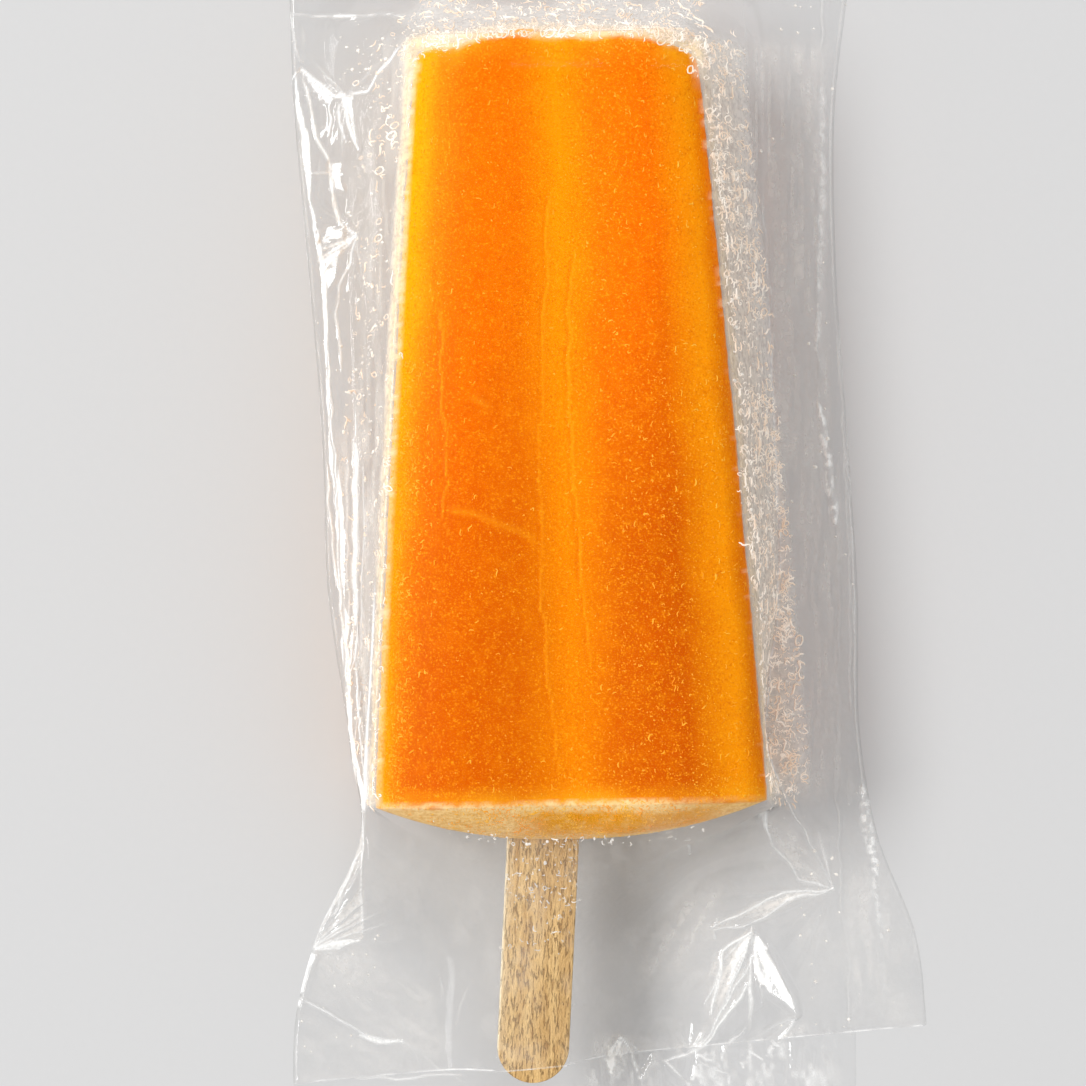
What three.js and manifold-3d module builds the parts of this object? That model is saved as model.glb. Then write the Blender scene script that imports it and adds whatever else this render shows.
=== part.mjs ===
// An ice lolly on a flat wooden stick, lying on its back in a clear film sleeve.
// Millimetres. +X is to the right, +Y runs from the stick to the lolly's tip, and +Z is up.
// The pieces are laid out round the middle of the ice's rim, which is the edge where the stick
// comes out. The exported group then stands centred on its own box, with its underside at Z = 0.
import * as THREE from "three";
import { mergeVertices, toCreasedNormals } from "three/addons/utils/BufferGeometryUtils.js";
import Module from "manifold-3d";

const wasm = await Module();
wasm.setup();

// Clearances
const GAP = 0.3; // between pieces that touch
const FILM_WALL = 0.4; // the film, drawn thicker than it is so that it is a sound solid

// Ice: a slab that widens from the tip to the rim, with two shallow lobes on each face
const ICE_LENGTH = 105.9;
const ICE_THICKNESS = 20.5;
const ICE_RIM_WIDTH = 52.7;
const ICE_TIP_WIDTH = 38.6;
const ICE_LEAN = 1.2; // degrees from the Y axis
const ICE_SQUARENESS = 6; // exponent of the section's superellipse
const GROOVE_DEPTH = 1.3; // between the lobes
const EDGE_DROP = 1.6; // from a lobe's crest to the side of the face
const TIP_ROUNDING = 3; // radius of the edge round the tip's end face
const TIP_CORNER_DROP = 3.4; // how far the tip's corners lie behind its middle
const TIP_CORNER_POWER = 5;
const TIP_WAVE = 0.35; // unevenness of the tip's end
const TIP_RUN = 16; // length over which the tip's shape fades into the slab
const DOME_BULGE = 5.1; // how far the freezing ice swelled out of the rim
const DOME_POWER = 2.2;

// Stick: round-ended, half sunk in the ice
const STICK_LENGTH = 93;
const STICK_WIDTH = 10;
const STICK_THICKNESS = 2;
const STICK_EASE = 0.25; // eased edges
const STICK_LEAN = -2.7; // degrees from the Y axis
const STICK_END = new THREE.Vector2(-5.3, -38.9); // the free end

// Sleeve: welded past the tip, open at the stick, with a lower layer that is longer, the lip
const SLEEVE_TOP = 118; // the welded end
const SLEEVE_WELD = 2.4; // width of the weld
const LIP_END = -49;
const LIP_RIGHT = 40.4; // right side of the lip
const MOUTH_LEFT = new THREE.Vector2(-38.5, -40.1); // ends of the upper layer's cut edge
const MOUTH_RIGHT = new THREE.Vector2(50.3, -31.9);
const TIP_RUNOUT = 7; // the film comes down to the surface this far past the tip
const TIP_NARROWING = 5; // and closes in by this much on each side
const RIM_RUNOUT = 24; // it comes down to the stick this far past the rim
const CROWN = 0.5; // how much higher the middle of the stretched film lies than its edges
const SLOPE_SAG = 0.12; // inward sag of the film beside the ice, as a share of its run

// Plan of the sleeve: X of its two folds, and of the two feet where the film meets the surface
const PLAN_Y = [-49, -30, -20, -5, 7, 30, 48, 77, 97, 118];
const LEFT_FOLD_X = [-38.5, -38.4, -35.8, -29.4, -30.8, -34.1, -34.7, -37, -38.8, -39.6];
const LEFT_FOOT_X = [-26, -26, -29.2, -27.4, -28.9, -32, -32.7, -35, -36.6, -37];
const RIGHT_FOOT_X = [32, 33, 36, 32.4, 28, 29.4, 29, 27.7, 26.6, 25];
const RIGHT_FOLD_X = [50.3, 50.2, 49, 43.4, 41.2, 40.6, 39.4, 37.5, 37.4, 39.8];

// How finely the round shapes are cut
const ICE_SIDE_STEPS = 28; // over each face
const ICE_BODY_STEPS = 12;
const TIP_STEPS = 5;
const DOME_STEPS = 6;
const STICK_ARC_STEPS = 14;

// Heights, worked out from the sizes above
const ICE_MIDDLE_Z = FILM_WALL + GAP + ICE_THICKNESS / 2;
const FILM_OVER_ICE_Z = ICE_MIDDLE_Z + ICE_THICKNESS / 2 + GAP + FILM_WALL;
const FILM_OVER_STICK_Z = ICE_MIDDLE_Z + STICK_THICKNESS / 2 + GAP + FILM_WALL;
const FILM_FLAT_Z = 2 * FILM_WALL + GAP; // two layers that lie on each other
const CLEAR = GAP + FILM_WALL;
const FAR = 200; // well past every piece

const iceMaterial = new THREE.MeshStandardMaterial({ color: 0xf27a04, roughness: 0.42 });
const woodMaterial = new THREE.MeshStandardMaterial({ color: 0xcda46b, roughness: 0.75 });
const filmMaterial = new THREE.MeshStandardMaterial({
  color: 0xeef1f4,
  roughness: 0.12,
  transparent: true,
  opacity: 0.25,
  depthWrite: false,
});

// Evenly spaced numbers from one end to the other, both included.
function spread(from, to, steps) {
  return Array.from({ length: steps + 1 }, (_, i) => THREE.MathUtils.lerp(from, to, i / steps));
}

// A smooth curve of X against Y through the sleeve's plan.
function planCurve(values) {
  const curve = new THREE.CubicInterpolant(PLAN_Y, values, 1);
  return (y) => curve.evaluate(THREE.MathUtils.clamp(y, PLAN_Y[0], PLAN_Y.at(-1)))[0];
}

// A closed skin over rings of points, with a fan to a middle point over each end. Each ring goes
// round from +X through +Z as seen along -Y, and the rings follow each other towards +Y.
function loft(rings, firstMiddle, lastMiddle) {
  const size = rings[0].length;
  const positions = [...rings.flat(), firstMiddle, lastMiddle].flatMap((p) => p.toArray());
  const first = rings.length * size;
  const last = first + 1;
  const index = [];
  for (let i = 0; i < size; i++) {
    const next = (i + 1) % size;
    for (let ring = 0; ring < rings.length - 1; ring++) {
      const [a, b] = [ring * size + i, ring * size + next];
      const [c, d] = [b + size, a + size];
      index.push(a, d, b, b, d, c);
    }
    const end = (rings.length - 1) * size;
    index.push(first, i, next, last, end + next, end + i);
  }
  return new THREE.BufferGeometry()
    .setAttribute("position", new THREE.Float32BufferAttribute(positions, 3))
    .setIndex(index);
}

// A geometry as a manifold-3d solid, after a matrix has been applied to it.
function solidOf(geometry, matrix = new THREE.Matrix4()) {
  const bare = new THREE.BufferGeometry()
    .setAttribute("position", geometry.getAttribute("position").clone())
    .setIndex(geometry.index)
    .applyMatrix4(matrix);
  const merged = mergeVertices(bare, 1e-4);
  return new wasm.Manifold(
    new wasm.Mesh({
      numProp: 3,
      vertProperties: new Float32Array(merged.attributes.position.array),
      triVerts: new Uint32Array(merged.index.array),
    }),
  );
}

// A manifold-3d solid as a geometry whose sharp edges stay sharp when it is shaded.
function geometryOf(solid) {
  const mesh = solid.getMesh();
  const geometry = new THREE.BufferGeometry()
    .setAttribute("position", new THREE.BufferAttribute(mesh.vertProperties, 3))
    .setIndex(new THREE.BufferAttribute(mesh.triVerts, 1));
  return toCreasedNormals(geometry, THREE.MathUtils.degToRad(35));
}

// A plan outline raised between two heights.
function prism(points, fromZ, toZ) {
  const outline = new THREE.Shape(points);
  return new THREE.ExtrudeGeometry(outline, { depth: toZ - fromZ, bevelEnabled: false })
    .translate(0, 0, fromZ);
}

// How far a face of the ice lies under its lobes' crests, with u from -1 to 1 across it.
function lobeDip(u) {
  const depth = Math.abs(u) < 0.5 ? GROOVE_DEPTH : EDGE_DROP;
  return depth * Math.cos(Math.PI * u) ** 2;
}

// A ring round the ice at y. inset draws it in on all sides.
function iceRing(y, inset = 0) {
  const share = THREE.MathUtils.clamp(y / ICE_LENGTH, 0, 1);
  const halfWidth = THREE.MathUtils.lerp(ICE_RIM_WIDTH, ICE_TIP_WIDTH, share) / 2 - inset;
  const halfThickness = ICE_THICKNESS / 2 - inset;
  const nearTip = THREE.MathUtils.smoothstep(y, ICE_LENGTH - TIP_RUN, ICE_LENGTH);
  const faceOf = (side) => (angle) => {
    const u = side * Math.sin(angle);
    const round = Math.max(0, 1 - Math.abs(u) ** ICE_SQUARENESS) ** (1 / ICE_SQUARENESS);
    const behind = TIP_CORNER_DROP * Math.abs(u) ** TIP_CORNER_POWER + TIP_WAVE * Math.sin(7 * u);
    return new THREE.Vector3(
      halfWidth * u,
      y - nearTip * behind,
      side * (halfThickness - lobeDip(u)) * round,
    );
  };
  const angles = spread(Math.PI / 2, -Math.PI / 2, ICE_SIDE_STEPS).slice(0, -1);
  return [...angles.map(faceOf(1)), ...angles.map(faceOf(-1))];
}

// The dome that swelled out of the rim: the rim's ring drawn in to a point.
function domeRings() {
  const rim = iceRing(0);
  return spread(1 / DOME_STEPS, 1, DOME_STEPS - 1).map((share) =>
    rim.map((p) => new THREE.Vector3(
      p.x * share,
      -DOME_BULGE * (1 - share ** DOME_POWER),
      p.z * share,
    )),
  );
}

// The whole ice, with its rim at Y = 0 and its middle plane at Z = 0.
function iceGeometry() {
  const straight = ICE_LENGTH - TIP_ROUNDING;
  const body = spread(0, straight, ICE_BODY_STEPS).slice(1).map((y) => iceRing(y));
  const tip = spread(0, Math.PI / 2, TIP_STEPS).slice(1).map((angle) =>
    iceRing(straight + TIP_ROUNDING * Math.sin(angle), TIP_ROUNDING * (1 - Math.cos(angle))),
  );
  const apex = new THREE.Vector3(0, -DOME_BULGE, 0);
  const tipMiddle = new THREE.Vector3(0, ICE_LENGTH + GAP, 0);
  return loft([...domeRings(), ...body, ...tip], apex, tipMiddle);
}

// A round-ended stick with its free end at the origin, running towards +Y, made larger all round
// by grow and eased along its edges by ease.
function stickGeometry(grow, ease) {
  const radius = STICK_WIDTH / 2 + grow - ease;
  const thickness = STICK_THICKNESS + 2 * grow;
  const outline = new THREE.Shape()
    .absarc(0, STICK_WIDTH / 2, radius, Math.PI, 2 * Math.PI)
    .absarc(0, STICK_LENGTH - STICK_WIDTH / 2, radius, 0, Math.PI);
  return new THREE.ExtrudeGeometry(outline, {
    depth: thickness - 2 * ease,
    curveSegments: STICK_ARC_STEPS,
    bevelEnabled: ease > 0,
    bevelThickness: ease,
    bevelSize: ease,
    bevelSegments: 2,
  }).translate(0, 0, ease - thickness / 2);
}

// X of the ice's sides at y, with the film's clearance.
function iceSides(y) {
  const share = THREE.MathUtils.clamp(y / ICE_LENGTH, 0, 1);
  const half = THREE.MathUtils.lerp(ICE_RIM_WIDTH, ICE_TIP_WIDTH, share) / 2 + CLEAR;
  const middle = -y * Math.tan(THREE.MathUtils.degToRad(ICE_LEAN));
  return [middle - half, middle + half];
}

// X of the stick's sides at y, with the film's clearance.
function stickSides(y) {
  const lean = Math.tan(THREE.MathUtils.degToRad(STICK_LEAN));
  const middle = STICK_END.x - (y - STICK_END.y) * lean;
  const half = STICK_WIDTH / 2 + CLEAR;
  return [middle - half, middle + half];
}

const leftFold = planCurve(LEFT_FOLD_X);
const leftFoot = planCurve(LEFT_FOOT_X);
const rightFoot = planCurve(RIGHT_FOOT_X);
const rightFold = planCurve(RIGHT_FOLD_X);

// The share of a run that a distance covers, quick at first and slow at its end, as film that
// comes off an edge and is caught by what lies beyond.
function runout(distance, run) {
  const share = THREE.MathUtils.clamp(distance / run, 0, 1);
  return share * (2 - share);
}

// The stretch of film that the ice or the stick holds up at y: its two ends and its height.
function heldFilm(y) {
  const pastTip = runout(y - ICE_LENGTH - CLEAR, TIP_RUNOUT);
  const pastRim = runout(-y - CLEAR, RIM_RUNOUT);
  const narrowing = TIP_NARROWING * pastTip;
  const [iceLeft, iceRight] = iceSides(y);
  const [stickLeft, stickRight] = stickSides(y);
  const overIce = THREE.MathUtils.lerp(FILM_OVER_ICE_Z, FILM_FLAT_Z, pastTip);
  return {
    left: THREE.MathUtils.lerp(iceLeft + narrowing, stickLeft, pastRim),
    right: THREE.MathUtils.lerp(iceRight - narrowing, stickRight, pastRim),
    height: THREE.MathUtils.lerp(overIce, FILM_OVER_STICK_Z, pastRim),
  };
}

// A sagging run of film from one point to another, without its last point.
function slope(from, to, steps) {
  return spread(0, 1, steps).slice(0, -1).map((share) => {
    const point = from.clone().lerp(to, share);
    const sag = SLOPE_SAG * Math.sin(Math.PI * share) * Math.abs(to.x - from.x);
    point.z = Math.max(FILM_FLAT_Z, point.z - sag);
    return point;
  });
}

// The outside of the sleeve at y: along the underside, round the right fold, over the top from
// right to left, and round the left fold.
function sleeveRing(y) {
  const at = (x, z) => new THREE.Vector3(x, y, z);
  const [left, right] = [leftFold(y), rightFold(y)];
  const bend = FILM_FLAT_Z / 2;
  const held = heldFilm(y);
  const crown = (CROWN * (held.height - FILM_FLAT_Z)) / FILM_OVER_ICE_Z;
  const top = spread(1, -1, 10).slice(0, -1).map((u) =>
    at(
      THREE.MathUtils.mapLinear(u, -1, 1, held.left, held.right),
      held.height + crown * (1 - u ** 4),
    ),
  );
  const rightFlat = at(right - bend, FILM_FLAT_Z);
  const rightEnd = at(rightFoot(y), FILM_FLAT_Z);
  const leftEnd = at(leftFoot(y), FILM_FLAT_Z);
  const leftFlat = at(left + bend, FILM_FLAT_Z);
  return [
    ...spread(left + bend, right - bend, 5).map((x) => at(x, 0)),
    at(right, bend),
    ...slope(rightFlat, rightEnd, 3),
    ...slope(rightEnd, at(held.right, held.height), 4),
    ...top,
    ...slope(at(held.left, held.height), leftEnd, 4),
    ...slope(leftEnd, leftFlat, 2),
    leftFlat,
    at(left, bend),
  ];
}

// The rings moved inwards by the film's thickness, square to the skin.
function linedRings(rings) {
  return rings.map((ring, j) =>
    ring.map((point, i) => {
      const before = rings[Math.max(0, j - 1)][i];
      const after = rings[Math.min(rings.length - 1, j + 1)][i];
      const along = after.clone().sub(before);
      const back = ring.at(i - 1);
      const on = ring[(i + 1) % ring.length];
      const outward = along.cross(on.clone().sub(back)).normalize();
      return point.clone().addScaledVector(outward, -FILM_WALL);
    }),
  );
}

function middleOf(ring) {
  return ring.reduce((sum, p) => sum.add(p), new THREE.Vector3()).divideScalar(ring.length);
}

// What the mouth's slanting cut takes off the upper layer.
function upperLayerCut() {
  const slant = MOUTH_RIGHT.clone().sub(MOUTH_LEFT);
  return prism(
    [
      MOUTH_LEFT.clone().sub(slant),
      MOUTH_LEFT.clone().sub(slant).setY(-FAR),
      MOUTH_RIGHT.clone().add(slant).setY(-FAR),
      MOUTH_RIGHT.clone().add(slant),
    ],
    FILM_WALL + GAP / 2,
    FAR,
  );
}

// What is cut off beside the lip, on its right.
function lipCut() {
  return prism(
    [
      new THREE.Vector2(LIP_RIGHT, -FAR),
      new THREE.Vector2(FAR, -FAR),
      new THREE.Vector2(FAR, MOUTH_RIGHT.y),
      new THREE.Vector2(LIP_RIGHT, MOUTH_RIGHT.y),
    ],
    -FAR,
    FAR,
  );
}

function sleeveGeometry() {
  const tipFilm = ICE_LENGTH + CLEAR;
  const bodyY = [
    ...spread(LIP_END, -RIM_RUNOUT, 6).slice(0, -1),
    ...spread(-RIM_RUNOUT, -CLEAR, 7).slice(0, -1),
    ...spread(-CLEAR, tipFilm, 12).slice(0, -1),
    ...spread(tipFilm, tipFilm + TIP_RUNOUT, 5).slice(0, -1),
    ...spread(tipFilm + TIP_RUNOUT, SLEEVE_TOP - SLEEVE_WELD, 1),
  ];
  const body = bodyY.map(sleeveRing);
  const outside = [...body, sleeveRing(SLEEVE_TOP)];
  const inside = linedRings(body);
  const pastMouth = inside[0].map((p) => p.clone().setY(LIP_END - 1));
  const shellOutside = loft(outside, middleOf(outside[0]), middleOf(outside.at(-1)));
  const shellInside = loft([pastMouth, ...inside], middleOf(pastMouth), middleOf(inside.at(-1)));
  return geometryOf(
    solidOf(shellOutside)
      .subtract(solidOf(shellInside))
      .subtract(solidOf(upperLayerCut()))
      .subtract(solidOf(lipCut())),
  );
}

const lolly = new THREE.Group();

const stick = new THREE.Mesh(toCreasedNormals(stickGeometry(0, STICK_EASE)), woodMaterial);
stick.name = "stick";
stick.position.set(STICK_END.x, STICK_END.y, ICE_MIDDLE_Z);
stick.rotation.z = THREE.MathUtils.degToRad(STICK_LEAN);
stick.updateMatrix();

const ice = new THREE.Mesh(undefined, iceMaterial);
ice.name = "ice";
ice.position.z = ICE_MIDDLE_Z;
ice.rotation.z = THREE.MathUtils.degToRad(ICE_LEAN);
ice.updateMatrix();
const fromStickToIce = ice.matrix.clone().invert().multiply(stick.matrix);
ice.geometry = geometryOf(
  solidOf(iceGeometry()).subtract(solidOf(stickGeometry(GAP, 0), fromStickToIce)),
);

const sleeve = new THREE.Mesh(sleeveGeometry(), filmMaterial);
sleeve.name = "sleeve";

lolly.add(ice, stick, sleeve);
const box = new THREE.Box3().setFromObject(lolly, true);
const centre = box.getCenter(new THREE.Vector3());
lolly.position.set(-centre.x, -centre.y, -box.min.z);

export default lolly;
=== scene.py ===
"""Dresses an ice lolly that lies in a clear film sleeve.

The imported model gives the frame. The ice, its stick and the film are each built again as fine
meshes in that frame, and frost crystals and dew are scattered over them with Geometry Nodes.
Sizes are in millimetres on the layout's own axes, whose origin is the middle of the ice's rim,
and become metres in the frame when a mesh is made.
"""

from __future__ import annotations

import logging  # noqa: E402
import math  # noqa: E402
from collections.abc import Callable  # noqa: E402
from dataclasses import dataclass, field  # noqa: E402
from enum import Enum  # noqa: E402

import bpy  # noqa: E402
import numpy as np  # noqa: E402
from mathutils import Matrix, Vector  # noqa: E402


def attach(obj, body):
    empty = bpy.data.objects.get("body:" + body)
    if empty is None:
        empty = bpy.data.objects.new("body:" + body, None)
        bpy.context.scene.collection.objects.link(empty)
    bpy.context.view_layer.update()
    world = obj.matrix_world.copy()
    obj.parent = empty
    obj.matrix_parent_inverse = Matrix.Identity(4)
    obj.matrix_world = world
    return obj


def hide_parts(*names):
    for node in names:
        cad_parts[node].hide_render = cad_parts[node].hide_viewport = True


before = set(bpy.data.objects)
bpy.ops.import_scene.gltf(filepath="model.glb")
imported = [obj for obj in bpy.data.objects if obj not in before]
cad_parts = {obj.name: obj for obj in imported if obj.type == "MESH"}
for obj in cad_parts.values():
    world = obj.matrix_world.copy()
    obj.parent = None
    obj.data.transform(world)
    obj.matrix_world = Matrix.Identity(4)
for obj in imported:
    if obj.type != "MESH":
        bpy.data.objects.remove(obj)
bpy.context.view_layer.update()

log = logging.getLogger("ice_lolly")

MM = 0.001
LAYOUT_ORIGIN = np.array([-5.3457, -34.5, 0.0])  # the frame's millimetres at the layout's origin
NOISE_CELLS = 64  # after so many cells the smooth noise repeats
FACET_CELLS = 256  # the same for the facets
TRIANGLE_SKEW = 0.3660254  # turns a square grid into even triangles: (sqrt(3) - 1) / 2
ATTRIBUTES = (
    "mist", "ice_glow", "contact", "edge", "gleam", "worms", "curls", "drops",
    "across", "along", "frost", "fleck", "dome", "lens", "wet_light_and_shade",
)
Point = tuple[float, float]
Colour = tuple[float, float, float]
Array = np.ndarray
Piece = bpy.types.Object
Material = bpy.types.Material
NodeTree = bpy.types.NodeTree
Node = bpy.types.Node
Socket = bpy.types.NodeSocket


# ---------------------------------------------------------------------------------------------
# Small maths
# ---------------------------------------------------------------------------------------------


def ease(value: Array | float, start: float, end: float) -> Array:
    """Eases from 0 at start to 1 at end.

    Args:
        value: Where to read the curve.
        start: The value that gives 0.
        end: The value that gives 1. It may lie below start.

    Returns:
        The eased share.
    """
    share = np.clip((np.asarray(value, float) - start) / (end - start), 0.0, 1.0)
    return share * share * (3.0 - 2.0 * share)


def lerp(start: Array | float, end: Array | float, share: Array | float) -> Array:
    """Gives the value that lies that share of the way from start to end."""
    return np.asarray(start) + (np.asarray(end) - np.asarray(start)) * share


def value_noise(points: Array, scale: float, seed: int) -> Array:
    """Smooth random values over space.

    Args:
        points: Positions, with X, Y and Z in the last axis, in millimetres.
        scale: Distance between independent values, in millimetres.
        seed: Fixes the pattern.

    Returns:
        One value from -1 to 1 for each position.
    """
    lattice = np.random.default_rng(seed).uniform(-1.0, 1.0, (NOISE_CELLS,) * 3)
    cell = np.asarray(points, float) / scale
    low = np.floor(cell).astype(int)
    part = cell - low
    part = part * part * (3.0 - 2.0 * part)
    total = np.zeros(cell.shape[:-1])
    for corner in range(8):
        step = np.array([corner & 1, corner >> 1 & 1, corner >> 2 & 1])
        weight = np.prod(np.where(step == 1, part, 1.0 - part), axis=-1)
        index = (low + step) % NOISE_CELLS
        total += weight * lattice[index[..., 0], index[..., 1], index[..., 2]]
    return total


def noise_share(points: Array, scale: float, seed: int) -> Array:
    """Smooth random values from 0 to 1."""
    return 0.5 + 0.5 * value_noise(points, scale, seed)


def layered_noise(points: Array, *layers: tuple[float, float, int]) -> Array:
    """Adds up smooth random values, each layer being a strength, a scale and a seed."""
    return sum(strength * value_noise(points, scale, seed) for strength, scale, seed in layers)


def plan_spots(x: Array, y: Array) -> Array:
    """Joins X and Y into level positions, for noise that is read in plan."""
    return np.stack([x, y, 0 * x], axis=-1)


def facet_noise(x: Array, y: Array, across: float, along: float, seed: int) -> Array:
    """Random values that are flat over triangles, as the facets of crumpled film are.

    Args:
        x: X of the positions.
        y: Y of the positions.
        across: Size of the triangles along X.
        along: Their size along Y.
        seed: Fixes the pattern.

    Returns:
        One value from -1 to 1 for each position.
    """
    table = np.random.default_rng(seed).uniform(-1.0, 1.0, (FACET_CELLS, FACET_CELLS))
    bend_strength, bend_scale = 0.45, 1.9
    cells = plan_spots(x / across, y / along)
    gx = x / across + bend_strength * value_noise(cells, bend_scale, seed + 1)
    gy = y / along + bend_strength * value_noise(cells, bend_scale, seed + 2)
    skew = (gx + gy) * TRIANGLE_SKEW
    i, j = np.floor(gx + skew).astype(int), np.floor(gy + skew).astype(int)
    u, v = gx + skew - i, gy + skew - j
    here_i, here_j = i % FACET_CELLS, j % FACET_CELLS
    next_i, next_j = (i + 1) % FACET_CELLS, (j + 1) % FACET_CELLS
    near, far = table[here_i, here_j], table[next_i, next_j]
    middle = np.where(u > v, table[next_i, here_j], table[here_i, next_j])
    first, last = np.maximum(u, v), np.minimum(u, v)
    return (1 - first) * near + (first - last) * middle + last * far


def inside_polygon(x: Array, y: Array, corners: list[Point]) -> Array:
    """Says which positions lie inside a plan outline.

    Args:
        x: X of the positions.
        y: Y of the positions.
        corners: The outline's corners in order.

    Returns:
        True inside.
    """
    result = np.zeros(np.shape(x), bool)
    for (ax, ay), (bx, by) in zip(corners, corners[1:] + corners[:1]):
        if ay != by:
            crosses = (ay > y) != (by > y)
            result ^= crosses & (x < (bx - ax) * (y - ay) / (by - ay) + ax)
    return result


def distance_to_line(x: Array, y: Array, line: list[Point]) -> Array:
    """Distance in plan from each position to a run of straight stretches.

    Args:
        x: X of the positions.
        y: Y of the positions.
        line: The run's corners in order.

    Returns:
        The distances, in the units of the input.
    """
    nearest = np.full(np.shape(x), np.inf)
    for (ax, ay), (bx, by) in zip(line, line[1:]):
        run = (bx - ax) ** 2 + (by - ay) ** 2
        share = np.clip(((x - ax) * (bx - ax) + (y - ay) * (by - ay)) / run, 0.0, 1.0)
        off = np.hypot(x - ax - share * (bx - ax), y - ay - share * (by - ay))
        nearest = np.minimum(nearest, off)
    return nearest


def depth_inside(x: Array, y: Array, corners: list[Point]) -> Array:
    """How deep each position lies inside a plan outline, and less than 0 outside it."""
    side = np.where(inside_polygon(x, y, corners), 1.0, -1.0)
    return side * distance_to_line(x, y, corners + corners[:1])


def smooth_curve(knots: tuple[float, ...], values: tuple[float, ...]) -> Callable[[Array], Array]:
    """A smooth curve through values at knots.

    Args:
        knots: Where the values are given, rising.
        values: The values.

    Returns:
        A function that reads the curve at any position, held level past its ends.
    """
    at = np.array(knots, float)
    value = np.array(values, float)
    slope = np.gradient(value, at)

    def read(position: Array) -> Array:
        """Reads the curve with cubic Hermite stretches."""
        place = np.clip(np.asarray(position, float), at[0], at[-1])
        index = np.clip(np.searchsorted(at, place) - 1, 0, len(at) - 2)
        run = at[index + 1] - at[index]
        t = (place - at[index]) / run
        return (
            (2 * t**3 - 3 * t**2 + 1) * value[index]
            + (t**3 - 2 * t**2 + t) * run * slope[index]
            + (-2 * t**3 + 3 * t**2) * value[index + 1]
            + (t**3 - t**2) * run * slope[index + 1]
        )

    return read


def linear(colour: tuple[int, int, int]) -> Colour:
    """Turns a display colour of 0 to 255 into linear light, by the sRGB curve."""
    shares = [level / 255.0 for level in colour]
    return tuple(c / 12.92 if c <= 0.04045 else ((c + 0.055) / 1.055) ** 2.4 for c in shares)


# ---------------------------------------------------------------------------------------------
# Meshes
# ---------------------------------------------------------------------------------------------


def to_frame(points: Array) -> Array:
    """Moves layout millimetres to metres in the frame."""
    return (np.asarray(points, float) + LAYOUT_ORIGIN) * MM


def grid_object(name: str, points: Array, closed: bool = False, down: bool = False) -> Piece:
    """Makes a smooth mesh object from a grid of points. Its place is in its mesh.

    Args:
        name: The object's name.
        points: Points as rows by columns by 3, in layout millimetres.
        closed: Whether each row closes on itself, and the first and the last row are filled.
        down: Whether an open grid faces down.

    Returns:
        The linked object.
    """
    rows, columns = points.shape[:2]
    faces = grid_faces(rows, columns, closed)
    if closed or down:
        faces = faces[:, ::-1]
    ends = []
    if closed:
        last = (rows - 1) * columns
        ends = [tuple(range(columns)), tuple(last + i for i in reversed(range(columns)))]
    mesh = bpy.data.meshes.new(name)
    mesh.from_pydata(to_frame(points.reshape(-1, 3)).tolist(), [], faces.tolist() + ends)
    mesh.polygons.foreach_set("use_smooth", np.ones(len(mesh.polygons), bool))
    mesh.update()
    piece = bpy.data.objects.new(name, mesh)
    bpy.context.scene.collection.objects.link(piece)
    return piece


def add_attribute(piece: Piece, name: str, values: Array) -> None:
    """Writes one number for each vertex.

    Args:
        piece: The mesh object.
        name: The attribute's name.
        values: One value for each vertex.
    """
    layer = piece.data.attributes.new(name, "FLOAT", "POINT")
    layer.data.foreach_set("value", np.ascontiguousarray(values, np.float32).ravel())


def grid_normals(points: Array) -> Array:
    """Normals of a grid of points whose rows run up Y, pointing up.

    Args:
        points: Points as rows by columns by 3.

    Returns:
        Unit normals in the same shape.
    """
    normal = np.cross(np.gradient(points, axis=1), np.gradient(points, axis=0))
    return normal / np.linalg.norm(normal, axis=-1, keepdims=True)


def grid_faces(rows: int, columns: int, wrap: bool) -> Array:
    """Faces of a grid of vertices that is numbered row by row.

    Args:
        rows: Number of rows.
        columns: Number of vertices in a row.
        wrap: Whether each row closes on itself.

    Returns:
        Four indices for each face, turning left as seen from above when rows run up Y.
    """
    row = np.arange(rows - 1)[:, None]
    column = np.arange(columns if wrap else columns - 1)[None, :]
    after = (column + 1) % columns
    here, above = row * columns, (row + 1) * columns
    return np.stack([here + column, here + after, above + after, above + column], axis=-1).reshape(-1, 4)


# ---------------------------------------------------------------------------------------------
# Shader groups and finishes
# ---------------------------------------------------------------------------------------------


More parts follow.
